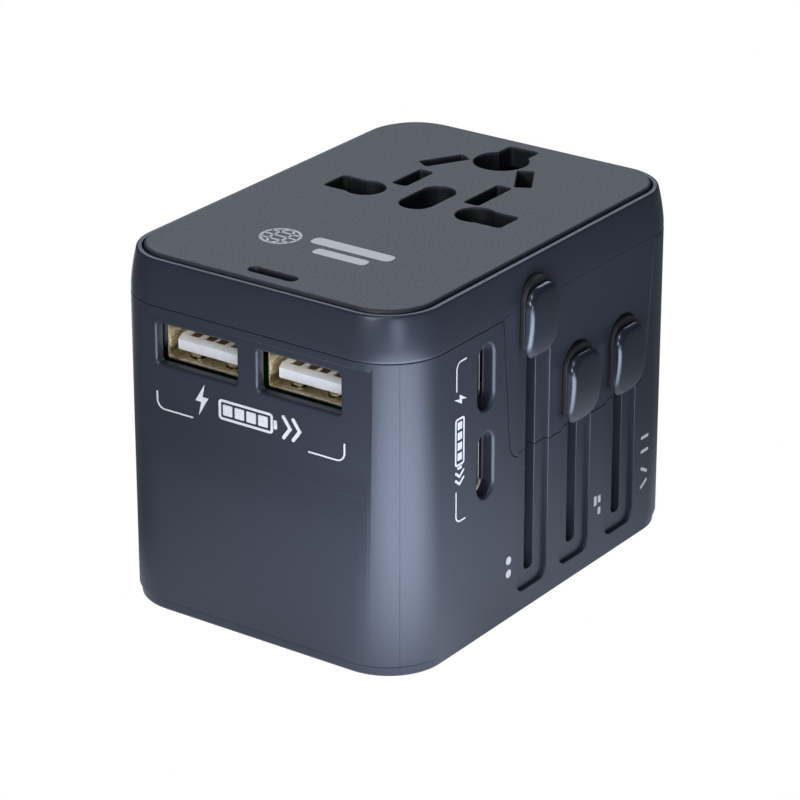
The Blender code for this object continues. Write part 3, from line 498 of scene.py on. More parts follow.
def tongue_outline(grow=0.0, top=TONGUE_INTO_RING):
    """The tongue's outline in YZ, its two upper corners flaring into the ring above."""
    line = RING_LOW + 0.12
    rise = (line - TONGUE_LOW) / (TONGUE_HIGH - TONGUE_LOW)
    a = TONGUE_BOTTOM[0] + (TONGUE_TOP[0] - TONGUE_BOTTOM[0]) * rise
    b = TONGUE_BOTTOM[1] + (TONGUE_TOP[1] - TONGUE_BOTTOM[1]) * rise
    out, flare = 3.0, 0.9
    corners = [(a - out, top), (a - out, line), (a, line, flare)]
    corners += [(y, TONGUE_LOW, TONGUE_ROUND) for y in TONGUE_BOTTOM]
    corners += [(b, line, flare), (b + out, line), (b + out, top)]
    points = rounded(corners, 12)
    return grown(points, grow) if grow else points


def rim_profile():
    """(inset, height) round the top ring: up the outside, over the rim, down inside, back under."""
    out = [(0.12, RING_LOW), (0.06, RING_LOW + 0.03), (0.035, RING_LOW + 0.09), (0.035, RIM_FROM)]
    for z in RIM_HEIGHTS:
        share = (z - RIM_FROM) / RIM_RISE
        out.append((RIM_LEAN * (0.35 * share + 0.65 * share ** 2), z))
    (inset, height), first, steps = out[-1], radians(RIM_ANGLE), 6
    for k in range(1, steps + 1):
        a = radians(RIM_ANGLE + (90 - RIM_ANGLE) * k / steps)
        further, higher = RIM_RADIUS * (cos(first) - cos(a)), RIM_RADIUS * (sin(a) - sin(first))
        out.append((inset + further, height + higher))
    top, wall, under = out[-1][1], 1.78, 2.5
    out += [(1.60, top), (1.70, top - 0.03), (1.76, top - 0.10), (wall, top - 0.22), (wall, LEDGE)]
    return out + [(under, LEDGE), (under, RING_LOW)]


def make_top_shell():
    shell = body_loft("top_shell_skin", rim_profile(), closed=True)
    tongue = slab("tongue", tongue_outline(), (FACE_X - SHELL_WALL, FACE_X), "X")
    combine(tongue, "INTERSECT", [slab("body", body_outline(0), (TONGUE_LOW - 1, 46.45))])
    combine(shell, "UNION", [tongue])
    cut(shell, *slider_cutters("top"))
    keep(shell, "shell_plastic", "top_shell")


def make_posts():
    """The top shell's posts, each with a bore for its base screw."""
    high, low, radius, bore, bore_top = LEDGE - 0.02, 3.35, 2.5, 1.3, 18
    profile = [(0, high), (radius, high), (radius, low), (bore, low), (bore, bore_top), (0, bore_top)]
    for i, at in enumerate(POSTS):
        keep(lathe(f"top_post_{i + 1}", profile, at, sides=32), "shell_plastic")


def lower_ring(name):
    """The wall of the two lower shells, with its outer edges eased."""
    low, high = BASE_HIGH + 0.1, SPLIT - SEAM
    profile = [(0.12, low), (0.035, low + 0.035), (0, low + 0.12)]
    profile += [(0, high - 0.14), (0.04, high - 0.04), (0.14, high), (SHELL_WALL, high), (SHELL_WALL, low)]
    return body_loft(name, profile, closed=True)


def front_wedge(shift):
    """The part of the plan in front of two 45 degree cuts, which meet inside the body."""
    apex, reach = -10 + shift, 70
    return slab("front_wedge", [(0, apex), (-reach, apex - reach), (reach, apex - reach)], (-5, 60))


SIDES = ("left", "right")
USB_A = [(side, middle("usb_a_shell_" + side, "X")) for side in SIDES]
USB_A_Z, USB_A_WALL = middle("usb_a_shell_left", "Z"), 0.3
USB_A_OPENING, USB_A_OUTER = (13.8, 5.95), (13.1, 5.7)
USB_A_FLARE, USB_C_FLARE = 0.45, 0.5
USB_C = [(place, middle("usb_c_shell_" + place, "Z")) for place in ("upper", "lower")]
USB_C_Y, USB_C_OPENING = middle("usb_c_shell_upper", "Y"), (3.75, 9.45)


def recess_profile():
    """The recess in YZ: a soft top edge, a flat back, and a fade out to the face below."""
    face, soft, steps = -FACE_Y, 0.22, 20
    profile = [(face - 2, RECESS_TOP + soft), (face - OFF_FACE, RECESS_TOP + soft)]
    profile += [(face + inward, RECESS_TOP + deeper) for inward, deeper in quarter(soft, 3)[1:]]
    profile += [(RECESS_Y - 0.12, RECESS_TOP), (RECESS_Y - 0.035, RECESS_TOP - 0.035)]
    profile.append((RECESS_Y, RECESS_TOP - 0.12))
    for t in [k / steps for k in range(steps + 1)]:
        y = RECESS_Y - RECESS_DEPTH * t * t * (3 - 2 * t)
        profile.append((y, RECESS_FULL - (RECESS_FULL - RECESS_END) * t))
    return profile + [(face - 2, RECESS_END)]


def make_front_shell():
    shell = combine(lower_ring("front_shell_skin"), "INTERSECT", [front_wedge(-SEAM)])
    tools = [slab("port_recess", recess_profile()[::-1], (-FACE_X - 2, FACE_X + 2), "X")]
    for side, x in USB_A:
        opening = block(around(x, USB_A_OPENING[0]), around(USB_A_Z, USB_A_OPENING[1]), 0.6, 8)
        tools.append(flared("usb_a_opening_" + side, opening, -FACE_Y + 4, RECESS_Y, USB_A_FLARE, "Y", 6))
    cut(shell, *tools)
    keep(shell, "shell_plastic", "front_shell")


def make_rear_shell():
    shell = cut(lower_ring("rear_shell_skin"), front_wedge(SEAM))
    deep = FACE_X - SHELL_WALL - 1
    tools = [flared("tongue_gap", tongue_outline(0.13, top=48), deep, FACE_X, 0.08, "X")]
    for place, z in USB_C:
        opening = block(around(USB_C_Y, USB_C_OPENING[0]), around(z, USB_C_OPENING[1]), 9, 20)
        tools.append(flared("usb_c_opening_" + place, opening, deep, FACE_X, USB_C_FLARE, "X", 6))
    cut(shell, *tools, *slider_cutters("rear"))
    keep(shell, "shell_plastic", "rear_shell")


EU_Y, EU_LOW = middle("eu_pin_left", "Y"), span("eu_carriage", "Z")[0]


def eu_outline(grow):
    """The EU plug in plan: an oblong with its corners cut off."""
    x, y, c = 16.9 + grow, 7 + grow, 4.0
    low, high = EU_Y - y, EU_Y + y
    return rounded([(-x, low + c, 1), (-x + c, low, 1), (x - c, low, 1), (x, low + c, 1),
                    (x, high - c, 1), (x - c, high, 1), (-x + c, high, 1), (-x, high - c, 1)], 6)


UK_PINS = ["uk_line_pin", "uk_neutral_pin", "uk_earth_pin"]
US_HUBS = ["us_hub_left", "us_hub_right"]


def plan(node, clear=0.0):
    """A node's rectangle in plan, grown by a clearance."""
    (x0, x1), (y0, y1) = span(node, "X"), span(node, "Y")
    return (x0 - clear, x1 + clear), (y0 - clear, y1 + clear)


def make_base_plate():
    inset, high = 0.35, BASE_HIGH - 0.05
    levels = [(inset + 0.45, 0.0), (inset + 0.18, 0.07), (inset + 0.04, 0.22), (inset, 0.42)]
    levels += [(inset, high - 0.08), (inset + 0.08, high), (2.3, high), (2.3, 2.98)]
    base = body_loft("base_plate_skin", levels)
    through, hub_way, head_way, bore = 5, 4.6, 2.5, 1.3
    tools = [flared("eu_way", eu_outline(0.6), through, 0, 0.25, out=1)]
    for pin in UK_PINS:
        tools.append(flared("way_" + pin, block(*plan(pin, 0.4), 0.8, 5), through, 0, 0.2, out=1))
    for hub in US_HUBS:
        way = circle((middle(hub, "X"), middle(hub, "Y")), hub_way, 48)
        tools.append(flared("way_" + hub, way, through, 0, 0.2, out=1))
    tools += [flared("sink", circle(at, head_way, 32), 2.0, 0, 0.2, out=1) for at in POSTS]
    tools += [slab("bore", circle(at, bore, 24), (1, through)) for at in POSTS]
    cut(base, *tools)
    keep(base, "shell_plastic", "base_plate")


def make_screw(name, at, low, high, radius, head):
    """A pan-head screw seen from below, with a cross recess."""
    thick, recess = 1.1, (low - 1, low + 0.8)
    profile = [(0, high), (radius * 0.4, high - 0.5), (radius, high - 1.2), (radius, low + thick)]
    profile += [(head, low + thick), (head, low + 0.45), (head * 0.93, low + 0.2)]
    profile += [(head * 0.75, low + 0.04), (head * 0.5, low), (0, low)]
    screw = lathe(name + "_turned", profile, at, 40)
    x, y = at
    arm, wide = head * 0.62, head * 0.2
    across = slab("arm_a", block(around(x, 2 * arm), around(y, wide), 0.05, 2), recess)
    along = slab("arm_b", block(around(x, wide), around(y, 2 * arm), 0.05, 2), recess)
    cut(screw, across, along)
    keep(screw, "steel", name)


# ---- socket panel
ROUND_X, ROUND_Y, ROUND_RADIUS = 9.5, 4.17, 2.95    # the EU pins' round openings
LINE_END, LINE_SPAN = 15.1, (1.65, 6.7)    # the UK pins' openings, which run out from them
AU_X, AU_Y, AU_WIDE, AU_LONG, AU_TILT = 6.95, 20.2, 2.4, 7.0, radians(30)
EARTH_HALF, EARTH_Y, EARTH_END, EARTH_RADIUS = 2.5, 24.6, 30.86, 4.05
LED_X, LED_Y, LED_WIDE, LED_TALL = 0.1, -30.2, 7.9, 1.8


def panel_openings():
    """The outlines of every opening of the socket face."""
    shapes = []
    for side in (-1, 1):
        x = tuple(sorted((side * ROUND_X, side * LINE_END)))
        shapes.append(("line", block(x, LINE_SPAN, 0.6, 5)))
        shapes.append(("round", circle((side * ROUND_X, ROUND_Y), ROUND_RADIUS, 48)))
        slot = block(around(side * AU_X, AU_WIDE), around(AU_Y, AU_LONG), 0.3, 4)
        shapes.append(("au", turned_by(slot, side * AU_TILT, (side * AU_X, AU_Y))))
    shapes.append(("earth", block((-EARTH_HALF, EARTH_HALF), (EARTH_Y, EARTH_END), 0.6, 5)))
    shapes.append(("earth_round", circle((0, EARTH_Y), EARTH_RADIUS, 56)))
    shapes.append(("centre", block((-2.55, 2.55), (0.87, 11.1), 3, 16)))
    shapes.append(("us_left", block((-7.6, -5.2), (8.0, 15.05), 0.5, 5)))
    shapes.append(("us_right", block((5.2, 7.7), (7.3, 15.95), 0.5, 5)))
    shapes.append(("led", block(around(LED_X, LED_WIDE), around(LED_Y, LED_TALL), 2, 10)))
    return shapes


def make_socket_panel():
    arc = [(PANEL_INSET + inward, PANEL_TOP - deeper) for inward, deeper in quarter(0.5, 5)]
    panel = body_loft("socket_panel_skin", [(PANEL_INSET, LEDGE + 0.3)] + arc)
    tools = []
    for i, (name, shape) in enumerate(panel_openings()):
        tools.append(flared(f"opening_{i}_{name}", shape, LEDGE - 1, PANEL_TOP, 0.2))
    cut(panel, *tools)
    keep(panel, "panel_plastic", "socket_panel")


def make_led():
    """The smoked window of the light, with a dimple at its left end."""
    x, y, (low, high) = spans("led_window")
    window = slab("led_lens", block(x, y, 2, 10), (low, high), edge=0.15, both=False)
    wide, deep, at = 0.5, 0.32, (x[0] + 0.75, sum(y) / 2)
    profile = [(0, high + 1), (wide, high + 1), (wide, high + 0.001)]
    profile += [(0.42, high - 0.2), (0.2, high - 0.3), (0, high - deep)]
    cut(window, lathe("dimple", profile, at, sides=32))
    keep(window, "lens_plastic", "led_window")


# ---- sliders: what is seen of them
KNOB_CREST, KNOB_FILLET, KNOB_CORNER = 0.66, 0.75, 2.5    # the crest is a share of the knob's height
KNOB_DROP_HIGH, KNOB_DROP_LOW = 0.62, 0.95    # how far the face falls back to each end
KNOB_PITCH = 0.55    # the longest step along its outline
KNOB_SHARES = (0.80, 0.6, 0.4, 0.2, 0.05)    # the rings that lead in over its face


def knob_outline(y, z):
    """The knob's outline in YZ, its straight sides in steps so that the face can curve."""
    shape, points = block(y, z, KNOB_CORNER, 14), []
    for k, here in enumerate(shape):
        after = shape[(k + 1) % len(shape)]
        length = (after - here).length
        pieces = max(1, round(length / KNOB_PITCH)) if length > 0.6 else 1
        points += [here.lerp(after, j / pieces) for j in range(pieces)]
    return points


def make_knob(s):
    """A cap that is barrelled from top to bottom, with rounded sides."""
    (x0, x1), (y0, y1), (z0, z1) = spans(s.name + "_knob")
    crest = z0 + (z1 - z0) * KNOB_CREST
    outline = knob_outline((y0, y1), (z0, z1))
    centre = Vector(((y0 + y1) / 2, (z0 + z1) / 2))
    half_y, half_z = (y1 - y0) / 2, (z1 - z0) / 2

    def face(z):
        reach = (z1 - crest) if z > crest else (crest - z0)
        drop = KNOB_DROP_HIGH if z > crest else KNOB_DROP_LOW
        return x1 - drop * (abs(z - crest) / reach) ** 2

    def ring(inset_y, inset_z, sunk=0.0, lowest=x0 - 1):
        """The outline drawn in towards its centre, on the face or sunk below it."""
        points = []
        for u, v in outline:
            y = centre.x + (u - centre.x) * (1 - inset_y / half_y)
            z = centre.y + (v - centre.y) * (1 - inset_z / half_z)
            points.append(Vector((max(face(z) - sunk, lowest), y, z)))
        return points

    rings = [[Vector((x0 - 0.12, u, v)) for u, v in outline]]
    for inset, sunk in quarter(KNOB_FILLET, 6):
        rings.append(ring(inset, inset, sunk, x0 - 0.1 + inset * 0.1))
    for share in KNOB_SHARES:
        inset_y = KNOB_FILLET + (half_y - KNOB_FILLET) * (1 - share)
        inset_z = KNOB_FILLET + (half_z - KNOB_FILLET) * (1 - share)
        rings.append(ring(inset_y, inset_z))
    keep(loft(s.name + "_knob_cap", rings), "knob_paint", s.name + "_knob", body=s.body, sharp=60)


def make_foot(s):
    """The black slide under the cap, which fills its channel, and the stem through the slot."""
    (y0, y1), (z0, z1), low_corner, arch = around(s.y, 7.1), (s.z - 5.0, s.z + 5.3), 1.2, 3.5
    shape = rounded([(y0, z0, low_corner), (y1, z0, low_corner), (y1, z1, arch), (y0, z1, arch)], 12)
    reach = (CHANNEL_FLOOR + 0.05, FACE_X + 0.6)
    foot = slab(s.name + "_foot", shape, reach, "X", edge=0.12)
    stem_shape = block(around(s.y, 1.6), (s.z - 2.6, s.z + 2.6), 0.3, 4)
    stem = slab("stem", stem_shape, (span(s.name + "_slider", "X")[0], FACE_X), "X")
    combine(foot, "UNION", [stem])
    keep(foot, "black_plastic", s.name + "_slider", body=s.body)


# ---- plugs
EU_CORE = 1.3                    # the pin's radius inside its sleeve


def make_eu_pins():
    tip, root = span("eu_pin_left", "Z")
    low, high = span("eu_sleeve_left", "Z")
    r = (span("eu_pin_left", "X")[1] - span("eu_pin_left", "X")[0]) / 2
    nose = [(r * sin(radians(a)), tip + r * 0.9 * (1 - cos(radians(a)))) for a in range(90, 0, -15)]
    metal = [(0, root), (EU_CORE, root), (EU_CORE, low - 0.05), (r, low - 0.05)] + nose + [(0, tip)]
    bore = EU_CORE + 0.02
    cover = [(0, high), (r, high), (r, low + 0.15), (r - 0.15, low)]
    cover += [(bore, low), (bore, low + 3), (0, low + 3)]
    for side in SIDES:
        at = (middle("eu_pin_" + side, "X"), EU_Y)
        pin = lathe(f"eu_pin_{side}_turned", metal, at)
        keep(pin, "nickel", "eu_pin_" + side, body="eu_plug", sharp=50)
        sleeve = lathe(f"eu_sleeve_{side}_moulded", cover, at)
        keep(sleeve, "black_plastic", "eu_sleeve_" + side, body="eu_plug")


def make_eu_carriage():
    """The EU plug body with its flange and the arm to its slider."""
    low, high, arm_end, arm_y, riser_top = 38.8, 40.8, 22.6, (-6.1, -2.8), 46.0
    body = slab("eu_plug_body", eu_outline(0), (EU_LOW, low + 0.5), edge=0.5)
    flange = slab("flange", block((-17.2, 17.2), around(EU_Y, 14.4), 1, 5), (low, high))
    arm = slab("arm", block((12, arm_end), arm_y, 0.2, 2), (low, high - 0.02))
    riser = slab("riser", block((21.0, arm_end), arm_y, 0.2, 2), (low + 0.02, riser_top))
    combine(body, "UNION", [flange, arm, riser])
    bores = []
    for side in SIDES:
        way = circle((middle("eu_pin_" + side, "X"), EU_Y), 2.3, 40)
        bores.append(flared("bore_" + side, way, 31, EU_LOW, 0.2, out=1))
    cut(body, *bores)
    keep(body, "black_plastic", "eu_carriage", body="eu_plug")


def pin_block(name, node, z, tip=0.5, corner=0.7, shrink=0.0):
    """A flat pin over a span of heights, its lower end tapered over a length set by `tip`."""
    (x0, x1), (y0, y1), (low, high) = span(node, "X"), span(node, "Y"), z
    shape = block((x0 + shrink, x1 - shrink), (y0 + shrink, y1 - shrink), corner, 5)
    if not tip:
        return stack(name, shape, [(0, low), (0, high)])
    taper = [(-tip * 0.75, low), (-tip * 0.55, low + tip * 0.12), (-tip * 0.2, low + tip * 0.6)]
    return stack(name, shape, taper + [(0, low + tip * 1.3), (0, high)])


def make_uk_pins():
    for side in ("line", "neutral"):
        pin, sleeve = f"uk_{side}_pin", f"uk_{side}_sleeve"
        low, high = span(pin, "Z")
        sleeve_low, sleeve_high = span(sleeve, "Z")
        metal = pin_block(pin + "_blade", pin, (low, sleeve_low - 0.05), tip=0.8)
        core = pin_block("core", pin, (sleeve_low - 1, high), tip=0, shrink=0.65, corner=0.2)
        combine(metal, "UNION", [core])
        keep(metal, "brass", pin, body="uk_plug")
        cover = pin_block(sleeve + "_moulded", sleeve, (sleeve_low, sleeve_high), tip=0)
        cut(cover, pin_block("bore", sleeve, (0, 60), tip=0, shrink=0.62, corner=0.2))
        keep(cover, "black_plastic", sleeve, body="uk_plug")
    low, high = span("uk_earth_pin", "Z")
    earth = pin_block("uk_earth_pin_blade", "uk_earth_pin", (low, high), tip=0.8)
    keep(earth, "brass", "uk_earth_pin", body="uk_plug")


def make_us_blade(side):
    """A flat blade with its hole, in the hub that it twists with."""
    body, blade, hub = f"us_blade_twist_{side}", f"us_blade_{side}", f"us_hub_{side}"
    (x0, x1), (y0, y1), (z0, z1) = spans(blade)
    shape = rounded([(y0, z0, 1.5), (y1, z0, 1.5), (y1, z1, 0.3), (y0, z1, 0.3)], 8)
    metal = slab(blade + "_stamped", shape, (x0, x1), "X", edge=0.25)
    hole, hole_up = 1.4, 3.2
    drill = [(0, x0 - 1), (hole, x0 - 1), (hole, x1 + 1), (0, x1 + 1)]
    cut(metal, lathe("hole", drill, ((y0 + y1) / 2, z0 + hole_up), along="X", sides=36))
    keep(metal, "nickel", blade, body=body)
    (hx0, hx1), (low, high) = span(hub, "X"), span(hub, "Z")
    flange, radius, thick, at = (hx1 - hx0) / 2, 5.0, 0.9, (middle(hub, "X"), middle(hub, "Y"))
    profile = [(0, high), (flange - 0.15, high), (flange, high - 0.15), (flange, high - thick)]
    profile += [(radius, high - thick), (radius, low + 0.25), (radius - 0.25, low), (0, low)]
    turned = lathe(hub + "_turned", profile, at, 64)
    cut(turned, slab("slot", block((x0 - 0.3, x1 + 0.3), (y0 - 0.3, y1 + 0.3), 0.2, 3), (low - 1, 29.3)))
    keep(turned, "black_plastic", hub, body=body)


# ---- ports
USB_A_SPRINGS, USB_A_SPRING_WIDE = (-3.1, 3.1), 1.75
USB_A_CONTACTS = (-3.5, -1.0, 1.0, 3.5)
USB_C_PADS, USB_C_PITCH = 5, 1.15


def tube(name, outline, wall, ends, along):
    """A sheet-metal tube: outline outside, wall thickness, its near edge softened."""
    near, far = ends
    step, lip = (1 if far > near else -1), 0.08
    levels = [(0, far), (0, near + step * lip), (-lip * 0.3, near + step * lip * 0.3), (-lip, near)]
    levels += [(-wall + lip, near), (-wall + lip * 0.3, near + step * lip * 0.3)]
    levels += [(-wall, near + step * lip), (-wall, far)]
    return stack(name, outline, levels, along, closed=True)


def make_usb_a(side, x):
    """The plated shell, with two windows in its floor and the springs that stand in them."""
    node = "usb_a_shell_" + side
    (front, back), (wide, tall) = span(node, "Y"), USB_A_OUTER
    can = block(around(x, wide), around(USB_A_Z, tall), 0.6, 6)
    shell = tube("usb_a_can_" + side, can, USB_A_WALL, (front, back), "Y")
    floor = USB_A_Z - tall / 2 + USB_A_WALL
    windows = []
    for i, at in enumerate(USB_A_SPRINGS):
        shape = block(around(x + at, 2.5), (front + 1.3, front + 7.3), 1.25, 8)
        windows.append(slab(f"window_{i}", shape, (floor - 1.5, floor + 0.25)))
    cut(shell, *windows)
    keep(shell, "brass", node)
    path = [(front + 7.4, floor - 0.12), (front + 3.2, floor + 0.28)]
    path += [(front + 2.2, floor + 0.34), (front + 1.65, floor + 0.05)]
    for i, at in enumerate(USB_A_SPRINGS):
        reach = around(x + at, USB_A_SPRING_WIDE)
        tab = slab(f"usb_a_spring_{side}_{i + 1}", stroke(path, 0.22, False), reach, "X")
        nose = slab("nose", block(reach, (front + 1.5, front + 7.6), 0.87, 10), (floor - 1, floor + 1))
        combine(tab, "INTERSECT", [nose])
        keep(tab, "brass")
    shape = block(around(x, wide - 0.5), around(USB_A_Z, tall - 0.5), 0.4, 4)
    back_wall = slab("usb_a_back_" + side, shape, (back - 0.35, back - 0.05), "Y")
    keep(back_wall, "black_plastic")


def make_usb_a_tongue(side, x):
    """The white tongue, grooved for its four contacts."""
    tongue, comb = "usb_a_tongue_" + side, "usb_a_contacts_" + side
    (x0, x1), (y0, y1), (z0, z1) = spans(tongue)
    nose = [(y0, z0 + 0.12), (y0 + 0.12, z0), (y1, z0), (y1, z1), (y0 + 0.7, z1), (y0, z1 - 0.6)]
    body = slab(tongue + "_moulded", nose, (x0, x1), "X")
    start, grooves = y0 + 0.85, []
    for i, at in enumerate(USB_A_CONTACTS):
        shape = block(around(x + at, 1.5), (start, y1 + 1), 0.1, 2)
        grooves.append(slab(f"groove_{i}", shape, (z1 - 0.42, z1 + 1)))
    cut(body, *grooves)
    soften(body, 0.06, 50)
    keep(body, "white_plastic", tongue)
    path = [(start, z1 - 0.36), (y0 + 1.2, z1 - 0.26), (y0 + 3.0, z1 + 0.32), (y0 + 4.2, z1 + 0.36)]
    path.append((y0 + 8.0, z1 - 0.28))
    for i, at in enumerate(USB_A_CONTACTS):
        name = f"usb_a_finger_{side}_{i + 1}"
        # each finger takes the gold darkened with painted shade
        finger = slab(name, stroke(path, 0.16, False), around(x + at, 1.2), "X", "gold_with_painted_shade")
        keep(finger, "brass")
    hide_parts(comb)


def make_usb_c(place, z):
    """The metal shell, its black back, and the tongue with a row of pads on each side."""
    node, inner = "usb_c_shell_" + place, "usb_c_tongue_" + place
    (x0, x1), y, height = spans(node)
    shape = block(y, height, 9, 20)
    keep(tube("usb_c_can_" + place, shape, 0.28, (x1, x0), "X"), "nickel", node)
    plug = slab("usb_c_back_" + place, grown(shape, -0.27), (x0 + 0.02, x0 + 0.5), "X")
    keep(plug, "black_plastic")
    (tx0, tx1), (ty0, ty1), tz = spans(inner)
    bar = block((ty0, ty1), tz, 0.3, 5)
    tongue = slab(inner + "_moulded", bar, (tx0, tx1), "X", edge=0.12)
    keep(tongue, "black_plastic", inner)
    for row, side in enumerate((-1, 1)):
        for k in range(USB_C_PADS):
            across = around(USB_C_Y + side * (ty1 - ty0) / 2, 0.06)
            up = around(z + (k - 2) * USB_C_PITCH, 0.5)
            name = f"usb_c_pad_{place}_{row + 1}_{k + 1}"
            pad = slab(name, block(across, up, 0.02, 2), (tx1 - 3.6, tx1 - 0.5), "X")
            keep(pad, "brass")


# ---- printing
# each printed face: the print's span, and its axis
FRONT = (RECESS_Y - 0.11, RECESS_Y + 0.3), "Y"      # far enough out to stay on the fading recess
SIDE = (FACE_X - 0.3, FACE_X + 0.03), "X"
TOP = (PANEL_TOP - 0.2, PANEL_TOP + 0.02), "Z"
BRACKET_LINE = 0.22


def ink(name, outline, face):
    keep(slab(name, outline, *face, "ink"), "panel_plastic")


def bolt(u, v, height):
    """A lightning bolt."""
    shape = [(0.10, 0.5), (-0.24, -0.06), (-0.02, -0.06), (-0.12, -0.5), (0.24, 0.10), (0.02, 0.10)]
    return [Vector((u + a * height, v + b * height)) for a, b in shape]


def hollow(name, outline, wall, face):
    """A printed frame, its wall inside an outline."""
    (low, high), along = face
    printed = slab(name, outline, *face, "ink")
    cut(printed, slab("hollow", grown(outline, -wall), (low - 1, high + 1), along))
    keep(printed, "panel_plastic")


def print_front():
    """Under the USB-A ports: a bolt, a charging battery and two chevrons between brackets."""
    left = [(-16.7, 33.3), (-16.7, 32.2)] + arc_path((-15.4, 32.2), 1.3, 180, 265) + [(-10.6, 30.9)]
    ink("front_bracket_left", stroke(left, BRACKET_LINE), FRONT)
    right = [(9.2, 30.9)] + arc_path((13.8, 32.2), 1.3, 275, 360) + [(15.1, 33.5)]
    ink("front_bracket_right", stroke(right, BRACKET_LINE), FRONT)
    ink("front_bolt", bolt(-8.9, 33.9, 4.6), FRONT)
    left, right, low, high = -6.0, 3.2, 31.9, 34.9
    hollow("front_battery", block((left, right), (low, high), 0.55, 5), 0.36, FRONT)
    cap = block((right + 0.15, right + 0.65), around((low + high) / 2, 1.3), 0.1, 2)
    ink("front_battery_cap", cap, FRONT)
    for k in range(4):
        start = left + 0.75 + k * 2.0
        bar = block((start, start + 1.55), (low + 0.72, high - 0.72), 0.1, 2)
        ink(f"front_charge_{k + 1}", bar, FRONT)
    for k, u in enumerate((5.0, 6.6)):
        chevron = [(u, low), (u + 1.1, (low + high) / 2), (u, high)]
        ink(f"front_chevron_{k + 1}", stroke(chevron, 0.5), FRONT)


def print_side():
    """The same marks beside the USB-C ports, turned to read downward."""
    upper = [(-23.3, 39.6), (-23.3, 42.7)] + arc_path((-22.3, 42.7), 1.0, 180, 95) + [(-21.1, 43.7)]
    ink("side_bracket_upper", stroke(upper, BRACKET_LINE), SIDE)
    lower = [(-23.3, 24.8), (-23.3, 21.3)] + arc_path((-22.3, 21.3), 1.0, 180, 265) + [(-21.1, 20.3)]
    ink("side_bracket_lower", stroke(lower, BRACKET_LINE), SIDE)
    at = (-22.4, 38.2)
    ink("side_bolt", turned_by(bolt(*at, 3.0), radians(-90), at), SIDE)
    left, right, low, high = -23.6, -21.4, 28.6, 35.6
    hollow("side_battery", block((left, right), (low, high), 0.5, 5), 0.3, SIDE)
    cap = block(around((left + right) / 2, 1.0), (low - 0.55, low - 0.12), 0.08, 2)
    ink("side_battery_cap", cap, SIDE)
    for k in range(4):
        start = high - 0.62 - k * 1.5
        bar = block((left + 0.58, right - 0.58), (start - 1.1, start), 0.08, 2)
        ink(f"side_charge_{k + 1}", bar, SIDE)
    for k, v in enumerate((27.3, 26.2)):
        chevron = [(left + 0.2, v + 0.35), ((left + right) / 2, v - 0.35), (right - 0.2, v + 0.35)]
        ink(f"side_chevron_{k + 1}", stroke(chevron, 0.36), SIDE)


def print_labels():
    """Beside each slider, the pattern of the pins that it slides out."""
    for k, v in enumerate((9.55, 7.55)):
        ink(f"eu_label_{k + 1}", circle((-10.3, v), 0.62, 28), SIDE)
    ink("uk_label_1", block((11.7, 12.35), around(10.2, 1.5), 0.06, 2), SIDE)
    ink("uk_label_2", block((12.75, 13.4), (9.65, 10.75), 0.06, 2), SIDE)
    ink("uk_label_3", block((12.75, 13.4), (7.8, 8.9), 0.06, 2), SIDE)
    for k, (v, tilt) in enumerate(((15.6, 90), (13.4, 90), (10.3, 60), (8.1, 120))):
        bar = turned_by(block(around(25.15, 2.0), around(v, 0.5), 0.2, 4), radians(tilt - 90), (25.15, v))
        ink(f"us_label_{k + 1}", bar, SIDE)


def print_top():
    """A globe and two bands where the panel's printing sits."""
    centre, radius, width = Vector((-7.6, -18.3)), 3.0, 0.42
    hollow("top_globe_rim", circle(centre, radius, 64), width, TOP)
    angles = [2 * pi * k / 48 for k in range(48)]
    ellipse = [centre + Vector((1.35 * cos(a), (radius - 0.2) * sin(a))) for a in angles]
    hollow("top_globe_meridian", ellipse, width * 0.85, TOP)
    for k, v in enumerate((-1.35, 0.0, 1.35)):
        reach = (radius ** 2 - v ** 2) ** 0.5 - 0.25
        line = block(around(centre.x, 2 * reach), around(centre.y + v, 0.36))
        ink(f"top_globe_parallel_{k + 1}", line, TOP)
    ink("top_band_1", block((-3.2, 10.2), (-17.9, -15.6), 0.9, 8), TOP)
    ink("top_band_2", block((-0.6, 8.2), (-20.9, -19.0), 0.7, 8), TOP)


# ---- camera, lights, floor
LENS, SENSOR = 163.48, 36.0
CAMERA_AT = Vector((275.45, -389.07, 229.91))
CAMERA_AZIMUTH, CAMERA_ELEVATION, CAMERA_ROLL = radians(35.347), radians(23.372), radians(0.017)


def direction(azimuth, elevation):
    return Vector((sin(azimuth) * cos(elevation), -cos(azimuth) * cos(elevation), sin(elevation)))


def camera():
    back = direction(CAMERA_AZIMUTH, CAMERA_ELEVATION)
    right = Vector((cos(CAMERA_AZIMUTH), sin(CAMERA_AZIMUTH), 0))
    turn = Matrix.Rotation(CAMERA_ROLL, 3, back)
    right, up = turn @ right, turn @ back.cross(right)
    data = bpy.data.cameras.new("camera")
    data.lens, data.sensor_width, data.clip_start = LENS, SENSOR, 0.01
    obj = bpy.data.objects.new("camera", data)
    obj.matrix_world = Matrix.Translation(CAMERA_AT * MM) @ Matrix((right, up, back)).transposed().to_4x4()
    SCENE.collection.objects.link(obj)
    SCENE.camera = obj


def softbox(name, azimuth, elevation, distance, size, power, color=(1, 1, 1)):
    """A rectangular light, in metres, that faces the middle of the adapter."""
    way, middle_at = direction(radians(azimuth), radians(elevation)), Vector((0, 0, 0.03))
    data = bpy.data.lights.new(name, "AREA")
    data.shape = "RECTANGLE"
    data.size, data.size_y = size
    data.energy, data.color = power, color
    obj = bpy.data.objects.new(name, data)
    turn = way.to_track_quat("Z", "Y").to_matrix().to_4x4()
    obj.matrix_world = Matrix.Translation(middle_at + way * distance) @ turn
    SCENE.collection.objects.link(obj)


